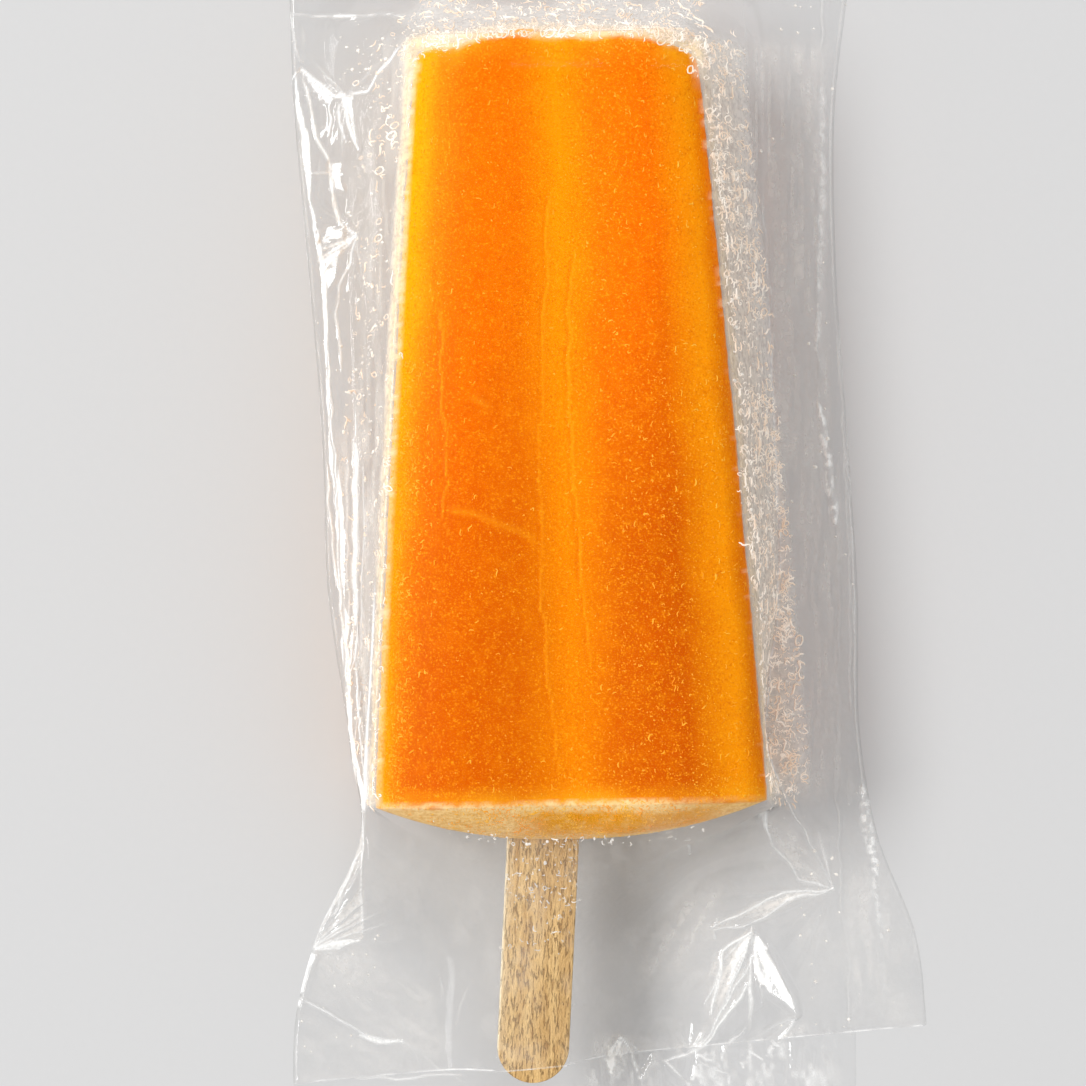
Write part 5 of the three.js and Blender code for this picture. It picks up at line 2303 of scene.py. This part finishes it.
        normals = grid_normals(points)
        middle = self.mouth_rows + self.split_row
        made = []
        for name, rows in (
            ("film_mouth", slice(0, self.mouth_rows + 1)),
            ("film_body", slice(self.mouth_rows, middle + 1)),
            ("film_tip", slice(middle, None)),
        ):
            piece = grid_object(name, points[rows])
            piece.data.normals_split_custom_set_from_vertices(normals[rows].reshape(-1, 3).tolist())
            for label, values in masks.items():
                add_attribute(piece, label, values[rows])
            piece.data.materials.append(self.finish)
            made.append(piece)
        return made, carrier

    def build_lower(self) -> Piece:
        """Makes the lower layer, with the longer lip.

        Returns:
            The dressed layer.
        """
        lip_rows, rest_rows, columns = self.lower_grid
        lip = np.linspace(self.lip_end, self.lip_root, lip_rows, endpoint=False)
        rest = np.linspace(self.lip_root, self.top, rest_rows)
        across = np.linspace(0.0, 1.0, columns)[None, :]
        y = np.concatenate([lip, rest])[:, None] + 0 * across
        fold_x, corner_y = self.right_fold(y), self.mouth_right[1]
        right = np.where(y < corner_y, self.lip_right + 0 * y, fold_x)
        right = lerp(right, fold_x, ease(y, corner_y - 0.6, corner_y))
        x = lerp(self.left_fold(y), right, across)
        on_lip = ease(y, self.mouth_y(x) + 1.5, self.mouth_y(x) - 1.5)
        inner = ease(x, 40.0, 34.0)
        crumple = 0.60 * facet_noise(x, y, 2.2, 5.0, 65) + 0.15 * facet_noise(x, y, 1.1, 2.2, 66)
        crumple = crumple * on_lip * ease(x, -2.0, 6.0) * inner
        swell = self.lower_z + 0.10 * np.abs(value_noise(plan_spots(x, 0.5 * y), 5.0, 61))
        z = np.maximum(swell + np.abs(crumple), self.lower_z)
        piece = grid_object("film_lower", np.stack([x, y, z], axis=-1), down=True)

        patch = ease(value_noise(plan_spots(x, 0.5 * y), 3.6, 67), -0.3, 0.3)
        fine_streak = 0.6 * value_noise(plan_spots(x, 0.4 * y), 0.5, 69)
        streak = value_noise(plan_spots(x, 0.28 * y), 1.1, 68) + fine_streak
        milky = 0.50 * ease(streak, 0.0, 1.0) * ease(x, 0.0, 5.0) * inner
        bent = 0.50 * self.whitened(x, y, crumple) * (0.15 + 0.85 * patch)
        _, facet_white = self.tipped(0 * x, x, y)
        _, ridge_white = self.ridged(x, y)
        # whitening and milky streaks, with painted highlights on the facets and creases
        gleam = np.maximum.reduce([bent, 0.8 * milky, facet_white, ridge_white])
        fold = np.minimum(x - self.left_fold(y), right - x)
        for label, values in (
            ("mist", np.zeros_like(x)),
            ("ice_glow", np.zeros_like(x)),
            ("contact", np.zeros_like(x)),
            ("gleam", gleam * on_lip),
            ("edge", ease(np.minimum(fold, y - self.lip_end), 0.30, 0.10)),
        ):
            add_attribute(piece, label, values)
        piece.data.materials.append(self.finish)
        return piece

    def build(self) -> tuple[list[Piece], Piece]:
        """Makes both layers.

        Returns:
            The upper layer's stretches and the lower layer, and the surface that carries the dew.
        """
        self.finish = FilmFinish().build()
        upper, carrier = self.build_upper()
        return [*upper, self.build_lower()], carrier


# ---------------------------------------------------------------------------------------------
# Scattered pieces
# ---------------------------------------------------------------------------------------------


@dataclass
class Scatter:
    """Small shapes scattered over a surface by Geometry Nodes."""

    name: str
    surface: Piece
    shapes: list[Piece]
    material: Material
    mask: str
    density: float
    smallest: float
    largest: float
    seed: int
    sunk: float = 0.0
    stretch: float = 1.0
    size_power: float = 2.2
    steepest: float = 0.12

    def tree(self) -> NodeTree:
        """Makes the node tree.

        Its density is counted in plan, and on a steep surface a shape is drawn out downhill by up to Stretch.

        Returns:
            The tree, whose inputs are Density, Smallest, Largest, Seed, Sunk and Stretch.
        """
        tree = bpy.data.node_groups.new("scatter_" + self.name, "GeometryNodeTree")
        face = tree.interface
        face.new_socket("Geometry", in_out="INPUT", socket_type="NodeSocketGeometry")
        for label in ("Density", "Smallest", "Largest", "Sunk", "Stretch"):
            face.new_socket(label, in_out="INPUT", socket_type="NodeSocketFloat")
        face.new_socket("Seed", in_out="INPUT", socket_type="NodeSocketInt")
        face.new_socket("Geometry", in_out="OUTPUT", socket_type="NodeSocketGeometry")
        bench = NodeBench(tree)
        source = bench.node("NodeGroupInput")
        result = bench.node("NodeGroupOutput")
        points = self.places(bench, source)
        normal = points.outputs["Normal"]
        upright = bench.filled("FunctionNodeAlignRotationToVector", {"Vector": normal})
        upright.node.axis = "Z"
        turn = {"Rotation": upright, "Vector": self.downhill(bench, normal)}
        rotation = bench.filled("FunctionNodeAlignRotationToVector", turn)
        rotation.node.axis, rotation.node.pivot_axis = "X", "Z"
        scale = self.size(bench, source)
        spread = bench.filled("GeometryNodeInstanceOnPoints", {
            "Points": points.outputs["Points"],
            "Instance": self.choices(bench),
            "Pick Instance": True,
            "Instance Index": self.choice(bench),
            "Rotation": rotation,
            "Scale": self.drawn(bench, source, normal, scale),
        })
        deep = bench.maths("MULTIPLY", bench.maths("MULTIPLY", source.outputs["Sunk"], scale), -1.0)
        shift = bench.filled("ShaderNodeCombineXYZ", {"Z": deep})
        sunk = {"Instances": spread, "Translation": shift, "Local Space": True}
        sunk = bench.filled("GeometryNodeTranslateInstances", sunk)
        real = bench.filled("GeometryNodeRealizeInstances", {"Geometry": sunk})
        dressed = bench.filled("GeometryNodeSetMaterial", {"Geometry": real, "Material": self.material})
        bench.join(dressed, result.inputs[0])
        return tree

    def places(self, bench: NodeBench, source: Node) -> Node:
        """Picks points on the surface, as dense in plan as the mask says.

        Args:
            bench: The tree's bench.
            source: The tree's inputs.

        Returns:
            The node that gives the points and their normals.
        """
        mask = bench.node("GeometryNodeInputNamedAttribute", data_type="FLOAT")
        mask.inputs["Name"].default_value = self.mask
        facing = bench.node("ShaderNodeSeparateXYZ")
        bench.join(bench.node("GeometryNodeInputNormal").outputs[0], facing.inputs[0])
        level = bench.maths("MAXIMUM", facing.outputs["Z"], self.steepest)
        dense = bench.maths("MULTIPLY", mask.outputs["Attribute"], source.outputs["Density"])
        points = bench.node("GeometryNodeDistributePointsOnFaces", distribute_method="RANDOM")
        bench.join(source.outputs["Geometry"], points.inputs["Mesh"])
        bench.join(bench.maths("MULTIPLY", dense, level), points.inputs["Density"])
        bench.join(source.outputs["Seed"], points.inputs["Seed"])
        return points

    def size(self, bench: NodeBench, source: Node) -> Socket:
        """A random size between the smallest and the largest, with more small ones.

        Args:
            bench: The tree's bench.
            source: The tree's inputs.

        Returns:
            The size's socket.
        """
        drawn = bench.node("FunctionNodeRandomValue", data_type="FLOAT")
        bench.join(source.outputs["Seed"], drawn.inputs["Seed"])
        skew = bench.maths("POWER", drawn.outputs[1], self.size_power)
        span = bench.maths("SUBTRACT", source.outputs["Largest"], source.outputs["Smallest"])
        return bench.maths("ADD", source.outputs["Smallest"], bench.maths("MULTIPLY", skew, span))

    @staticmethod
    def downhill(bench: NodeBench, normal: Socket) -> Socket:
        """The direction down the slope that a normal stands on.

        Args:
            bench: The tree's bench.
            normal: The normal.

        Returns:
            The direction's socket.
        """
        tilt = bench.node("ShaderNodeSeparateXYZ")
        bench.join(normal, tilt.inputs[0])
        along = bench.node("ShaderNodeVectorMath", operation="SCALE")
        bench.join(normal, along.inputs[0])
        bench.join(tilt.outputs["Z"], along.inputs["Scale"])
        made = bench.node("ShaderNodeVectorMath", operation="SUBTRACT")
        bench.join(along.outputs[0], made.inputs[0])
        made.inputs[1].default_value = (0.0, 0.0, 1.0)
        return made.outputs[0]

    @staticmethod
    def drawn(
        bench: NodeBench, source: Node, normal: Socket, scale: Socket
    ) -> Socket:
        """Draws a shape out downhill, so that it keeps its size in plan.

        Args:
            bench: The tree's bench.
            source: The tree's inputs.
            normal: The surface's normal.
            scale: The shape's size.

        Returns:
            The scale along each axis.
        """
        tilt = bench.node("ShaderNodeSeparateXYZ")
        bench.join(normal, tilt.inputs[0])
        longer = bench.maths("DIVIDE", 1.0, bench.maths("MAXIMUM", tilt.outputs["Z"], 0.05))
        longer = bench.maths("MAXIMUM", bench.maths("MINIMUM", longer, source.outputs["Stretch"]), 1.0)
        long = bench.maths("MULTIPLY", scale, longer)
        return bench.filled("ShaderNodeCombineXYZ", {"X": long, "Y": scale, "Z": scale})

    def choices(self, bench: NodeBench) -> Socket:
        """The shapes to choose from."""
        group = bpy.data.collections.new("shapes_" + self.name)
        for shape in self.shapes:
            group.objects.link(shape)
        values = {"Collection": group, "Separate Children": True, "Reset Children": True}
        picked = bench.filled("GeometryNodeCollectionInfo", values)
        picked.node.transform_space = "ORIGINAL"
        return picked

    def choice(self, bench: NodeBench) -> Socket:
        """A random number of one of the shapes."""
        drawn = bench.node("FunctionNodeRandomValue", data_type="INT")
        drawn.inputs[5].default_value = len(self.shapes) - 1
        return drawn.outputs[2]

    def build(self) -> Piece:
        """Scatters the shapes and turns the result into a plain mesh.

        Returns:
            The finished piece.
        """
        carrier = bpy.data.objects.new(self.name + "_carrier", self.surface.data)
        bpy.context.scene.collection.objects.link(carrier)
        modifier = carrier.modifiers.new("scatter", "NODES")
        modifier.node_group = self.tree()
        values = {
            "Density": self.density,
            "Smallest": self.smallest,
            "Largest": self.largest,
            "Sunk": self.sunk,
            "Stretch": self.stretch,
            "Seed": self.seed,
        }
        for item in modifier.node_group.interface.items_tree:
            if item.item_type == "SOCKET" and item.in_out == "INPUT" and item.name in values:
                modifier[item.identifier] = values[item.name]
        bpy.context.view_layer.update()
        shown = carrier.evaluated_get(bpy.context.evaluated_depsgraph_get())
        mesh = bpy.data.meshes.new_from_object(shown)
        mesh.name = self.name
        for layer in [a.name for a in mesh.attributes if a.name in ATTRIBUTES]:
            mesh.attributes.remove(mesh.attributes[layer])
        mesh.polygons.foreach_set("use_smooth", np.ones(len(mesh.polygons), bool))
        piece = bpy.data.objects.new(self.name, mesh)
        bpy.context.scene.collection.objects.link(piece)
        for spent in (carrier, *self.shapes):
            bpy.data.objects.remove(spent)
        return piece


@dataclass
class Shapes:
    """The small shapes that are scattered, each about one unit across."""

    seed: int = 5

    @staticmethod
    def bare(name: str, points: Array, faces: list[tuple[int, ...]]) -> Piece:
        """An object that is only used as a shape to scatter.

        Args:
            name: The object's name.
            points: Vertices in metres.
            faces: Vertex indices.

        Returns:
            The object, which isn't linked to the scene.
        """
        mesh = bpy.data.meshes.new(name)
        mesh.from_pydata(np.asarray(points, float).tolist(), [], faces)
        mesh.update()
        return bpy.data.objects.new(name, mesh)

    @staticmethod
    def turned(flat: Array, angle: float) -> Array:
        """Turns points in plan."""
        cos, sin = math.cos(angle), math.sin(angle)
        return flat @ np.array([[cos, sin], [-sin, cos]])

    def crystals(self) -> list[Piece]:
        """Flat splinters of ice."""
        chance = np.random.default_rng(self.seed)
        made = []
        for index in range(8):
            sides = 4 + index % 2
            angles = np.sort(chance.uniform(0, 2 * np.pi, sides))
            long = chance.uniform(0.6, 1.5)
            turn = chance.uniform(0, np.pi)
            flat = np.stack([0.5 * long * np.cos(angles), 0.5 / long * np.sin(angles)], axis=-1)
            rim = np.column_stack([self.turned(flat, turn), np.zeros(sides)])
            points = np.vstack([rim, [(0.05, 0.0, 0.3), (0.0, 0.05, -0.25)]])
            faces = [(i, (i + 1) % sides, sides) for i in range(sides)]
            faces += [((i + 1) % sides, i, sides + 1) for i in range(sides)]
            made.append(self.bare(f"crystal_{index}", points, faces))
        return made

    def drops(self) -> list[Piece]:
        """Flattened beads."""
        made = []
        rings, sides = 4, 8
        turns = 2 * np.pi * np.arange(sides) / sides
        for index, (flat, long) in enumerate(((0.55, 1.0), (0.42, 1.25), (0.6, 0.95))):
            points = [(0.0, 0.0, 0.5 * flat)]
            for polar in np.pi * np.arange(1, rings) / rings:
                reach_x, reach_y = 0.5 * long * math.sin(polar), 0.5 / long * math.sin(polar)
                height = 0.5 * flat * math.cos(polar)
                points += [(reach_x * math.cos(turn), reach_y * math.sin(turn), height) for turn in turns]
            points.append((0.0, 0.0, -0.5 * flat))
            last = len(points) - 1
            faces = [(0, 1 + i, 1 + (i + 1) % sides) for i in range(sides)]
            for ring in range(rings - 2):
                upper, lower = 1 + ring * sides, 1 + (ring + 1) * sides
                for i in range(sides):
                    after = (i + 1) % sides
                    faces.append((upper + i, lower + i, lower + after, upper + after))
            start = 1 + (rings - 2) * sides
            faces += [(start + i, last, start + (i + 1) % sides) for i in range(sides)]
            made.append(self.bare(f"drop_{index}", points, faces))
        return made

    def tube(self, name: str, path: Array, radii: Array, closed: bool) -> Piece:
        """A round tube along a path.

        Args:
            name: The object's name.
            path: Points of the path in plan.
            radii: The tube's radius at each.
            closed: Whether the path closes on itself.

        Returns:
            The tube.
        """
        sides, count = 4, len(path)
        ahead = np.roll(path, -1, axis=0) - np.roll(path, 1, axis=0)
        if not closed:
            ahead[0], ahead[-1] = path[1] - path[0], path[-1] - path[-2]
        ahead /= np.linalg.norm(ahead, axis=1)[:, None]
        across = np.stack([ahead[:, 1], -ahead[:, 0]], axis=-1)
        points = []
        for spot, out, radius in zip(path, across, radii):
            for side in range(sides):
                turn = 2 * math.pi * side / sides
                points.append((*(spot + out * radius * math.cos(turn)), 0.8 * radius * math.sin(turn)))
        faces = []
        for i in range(count if closed else count - 1):
            after = (i + 1) % count
            for side in range(sides):
                on = (side + 1) % sides
                faces.append((i * sides + side, after * sides + side, after * sides + on, i * sides + on))
        if not closed:
            faces.append(tuple(range(sides)))
            faces.append(tuple((count - 1) * sides + side for side in reversed(range(sides))))
        return self.bare(name, points, faces)

    def worms(self, thick: float, rings: int) -> list[Piece]:
        """Short bent ridges, and open and closed rings, each turned its own way.

        Args:
            thick: Radius of the ridges, for a shape about one unit across.
            rings: How many rings to add.

        Returns:
            The shapes.
        """
        chance = np.random.default_rng(self.seed + 1)
        made = []
        count = 7
        for index in range(16):
            heading = chance.uniform(0, 2 * math.pi) + np.cumsum(chance.normal(0, 0.8, count))
            step = chance.uniform(0.11, 0.18)
            path = np.cumsum(np.stack([np.cos(heading), np.sin(heading)], axis=-1) * step, axis=0)
            path -= path.mean(0)
            radii = thick * chance.uniform(0.7, 1.2) * np.sin(np.linspace(0.35, math.pi - 0.35, count)) ** 0.6
            made.append(self.tube(f"worm_{rings}_{index}", path, radii, False))
        count = 9
        for index in range(rings):
            gap = 0.0 if index % 3 == 1 else 0.22
            sweep = np.linspace(0, 2 * math.pi * (1 - gap), count, endpoint=gap > 0)
            turns = chance.uniform(0, 2 * math.pi) + sweep
            long, lean = chance.uniform(0.34, 0.46), chance.uniform(0, math.pi)
            oval = np.stack([long * np.cos(turns), 0.085 / long * np.sin(turns)], axis=-1)
            oval = oval * chance.uniform(0.82, 1.15, (count, 1))
            radii = np.full(count, 0.8 * thick)
            made.append(self.tube(f"ring_{rings}_{index}", self.turned(oval, lean), radii, gap == 0.0))
        return made


# ---------------------------------------------------------------------------------------------
# Studio
# ---------------------------------------------------------------------------------------------


@dataclass
class Softbox:
    """A flat light that looks at the lolly."""

    name: str
    azimuth: float
    elevation: float
    distance: float
    width: float
    height: float
    radiance: float

    def build(self) -> None:
        """Makes the light."""
        light = bpy.data.lights.new(self.name, "AREA")
        light.shape = "RECTANGLE"
        light.size = self.width
        light.size_y = self.height
        light.energy = self.radiance * math.pi * self.width * self.height
        holder = bpy.data.objects.new(self.name, light)
        turn, rise = math.radians(self.azimuth), math.radians(self.elevation)
        level = math.cos(rise)
        place = Vector((math.cos(turn) * level, math.sin(turn) * level, math.sin(rise))) * self.distance
        holder.location = place
        holder.rotation_euler = place.to_track_quat("Z", "Y").to_euler()
        holder.visible_camera = False
        bpy.context.scene.collection.objects.link(holder)


@dataclass
class Studio:
    """The floor, the lights round it and the camera over it."""

    camera_place: tuple[float, float, float] = (-9.05, 1.5, 750.0)
    lens: float = 176.4
    sensor: float = 36.0
    floor_reach: float = 3.0
    sky: float = 1.13
    seen_sky: float = 0.73
    boxes: list[Softbox] = field(
        default_factory=lambda: [
            Softbox("key", 168.0, 40.0, 3.5, 2.3, 0.95, 13.6),
            Softbox("top_strip", 80.0, 46.0, 2.7, 1.05, 0.50, 7.0),
        ]
    )

    def floor(self) -> Piece:
        """Makes the floor.

        Returns:
            The floor.
        """
        mesh = bpy.data.meshes.new("floor")
        far = self.floor_reach
        mesh.from_pydata([(-far, -far, 0), (far, -far, 0), (far, far, 0), (-far, far, 0)], [], [(0, 1, 2, 3)])
        plane = bpy.data.objects.new("floor", mesh)
        bpy.context.scene.collection.objects.link(plane)
        mesh.materials.append(FloorFinish().build())
        return plane

    def world(self) -> None:
        """Makes the sky: bright at the sides and paler overhead, with a dark ring between."""
        world = bpy.data.worlds.new("studio")
        bpy.context.scene.world = world
        world.use_nodes = True
        world.node_tree.nodes.clear()
        bench = NodeBench(world.node_tree)
        direction = bench.node("ShaderNodeTexCoord").outputs["Generated"]
        split = bench.node("ShaderNodeSeparateXYZ")
        bench.join(direction, split.inputs[0])
        rings = [(0.0, 1.0), (0.78, 1.0), (0.87, 0.15), (0.94, 0.15), (0.972, 0.7), (1.0, 0.7)]
        level = bench.ramp(split.outputs[2], rings)
        side = bench.range(split.outputs[0], 0.1, 0.7, 1.0, 1.02)
        strength = bench.maths("MULTIPLY", bench.maths("MULTIPLY", level, side), self.sky)
        seen = bench.node("ShaderNodeLightPath").outputs["Is Camera Ray"]
        pick = bench.node("ShaderNodeMix", data_type="FLOAT")
        bench.join(seen, pick.inputs[0])
        bench.join(strength, pick.inputs[2])
        pick.inputs[3].default_value = self.seen_sky
        back = bench.filled("ShaderNodeBackground", {"Strength": pick.outputs[0]})
        bench.join(back, bench.node("ShaderNodeOutputWorld").inputs["Surface"])

    def camera(self) -> None:
        """Makes the camera, which looks straight down."""
        data = bpy.data.cameras.new("camera")
        data.lens = self.lens
        data.sensor_width = self.sensor
        data.clip_start = 0.01
        holder = bpy.data.objects.new("camera", data)
        holder.location = Vector(self.camera_place) * MM
        bpy.context.scene.collection.objects.link(holder)
        bpy.context.scene.camera = holder

    def build(self) -> None:
        """Makes the whole studio."""
        self.floor()
        self.world()
        self.camera()
        for box in self.boxes:
            box.build()
        scene = bpy.context.scene
        scene.view_settings.view_transform = "Standard"
        scene.cycles.max_bounces = 6
        scene.cycles.diffuse_bounces = 2
        scene.cycles.glossy_bounces = 2
        scene.cycles.transmission_bounces = 4
        scene.cycles.caustics_reflective = False
        scene.cycles.caustics_refractive = False


# ---------------------------------------------------------------------------------------------
# The whole
# ---------------------------------------------------------------------------------------------


@dataclass
class IceLolly:
    """The lolly in its sleeve."""

    ice: IceBar = field(default_factory=IceBar)
    stick: Stick = field(default_factory=Stick)

    def carry(self, piece: Piece, node: str | None) -> None:
        """Joins a piece to the frame.

        Args:
            piece: The finished piece.
            node: The CAD node that it stands for, if any.
        """
        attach(piece, "root")
        if node:
            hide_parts(node)
        log.info("%s: %d faces", piece.name, len(piece.data.polygons))

    def build(self) -> None:
        """Builds and dresses every piece."""
        bar = self.ice.build()
        board = self.stick.build()
        films, carrier = FilmSleeve(self.ice, self.stick).build()
        shapes = Shapes()
        crystal, dew = CrystalFinish().build(), DewFinish().build()
        grey, white = linear((216, 212, 206)), linear((250, 246, 238))
        # the meltwater beads also get a smaller painted glow
        bead = DewFinish(white, grey, glow=0.05, clear=0.35, name="meltwater").build()
        splinters, plain_curls = shapes.crystals(), shapes.worms(0.08, 0)
        worms, curls, drops = shapes.worms(0.078, 2), shapes.worms(0.09, 3), shapes.drops()
        scatters = (
            Scatter("frost_crystals", bar, splinters, crystal, "fleck", 2.4e6, 0.00008, 0.00034, 3),
            Scatter("frost_curls", bar, plain_curls, crystal, "fleck", 0.75e6, 0.0003, 0.0011, 5, sunk=0.05),
            Scatter("dew_worms", carrier, worms, dew, "worms", 4.6e6, 0.0005, 0.0023, 7, 0.04, stretch=2.2),
            Scatter("melt_curls", carrier, curls, bead, "curls", 2.2e6, 0.0003, 0.0011, 11, sunk=0.04),
            Scatter("dew_drops", carrier, drops, bead, "drops", 0.55e6, 0.00016, 0.0006, 9, 0.3, stretch=3.0),
        )
        self.carry(bar, "ice")
        self.carry(board, "stick")
        for film in films:
            self.carry(film, "sleeve")
        for scatter in scatters:
            piece = scatter.build()
            on_ice = scatter.surface == bar
            piece.visible_shadow = on_ice
            self.carry(piece, None)
        bpy.data.objects.remove(carrier)


def main() -> None:
    """Builds the studio and the lolly."""
    logging.basicConfig(level=logging.INFO, format="%(message)s")
    Studio().build()
    IceLolly().build()


if __name__ == "__main__":
    main()
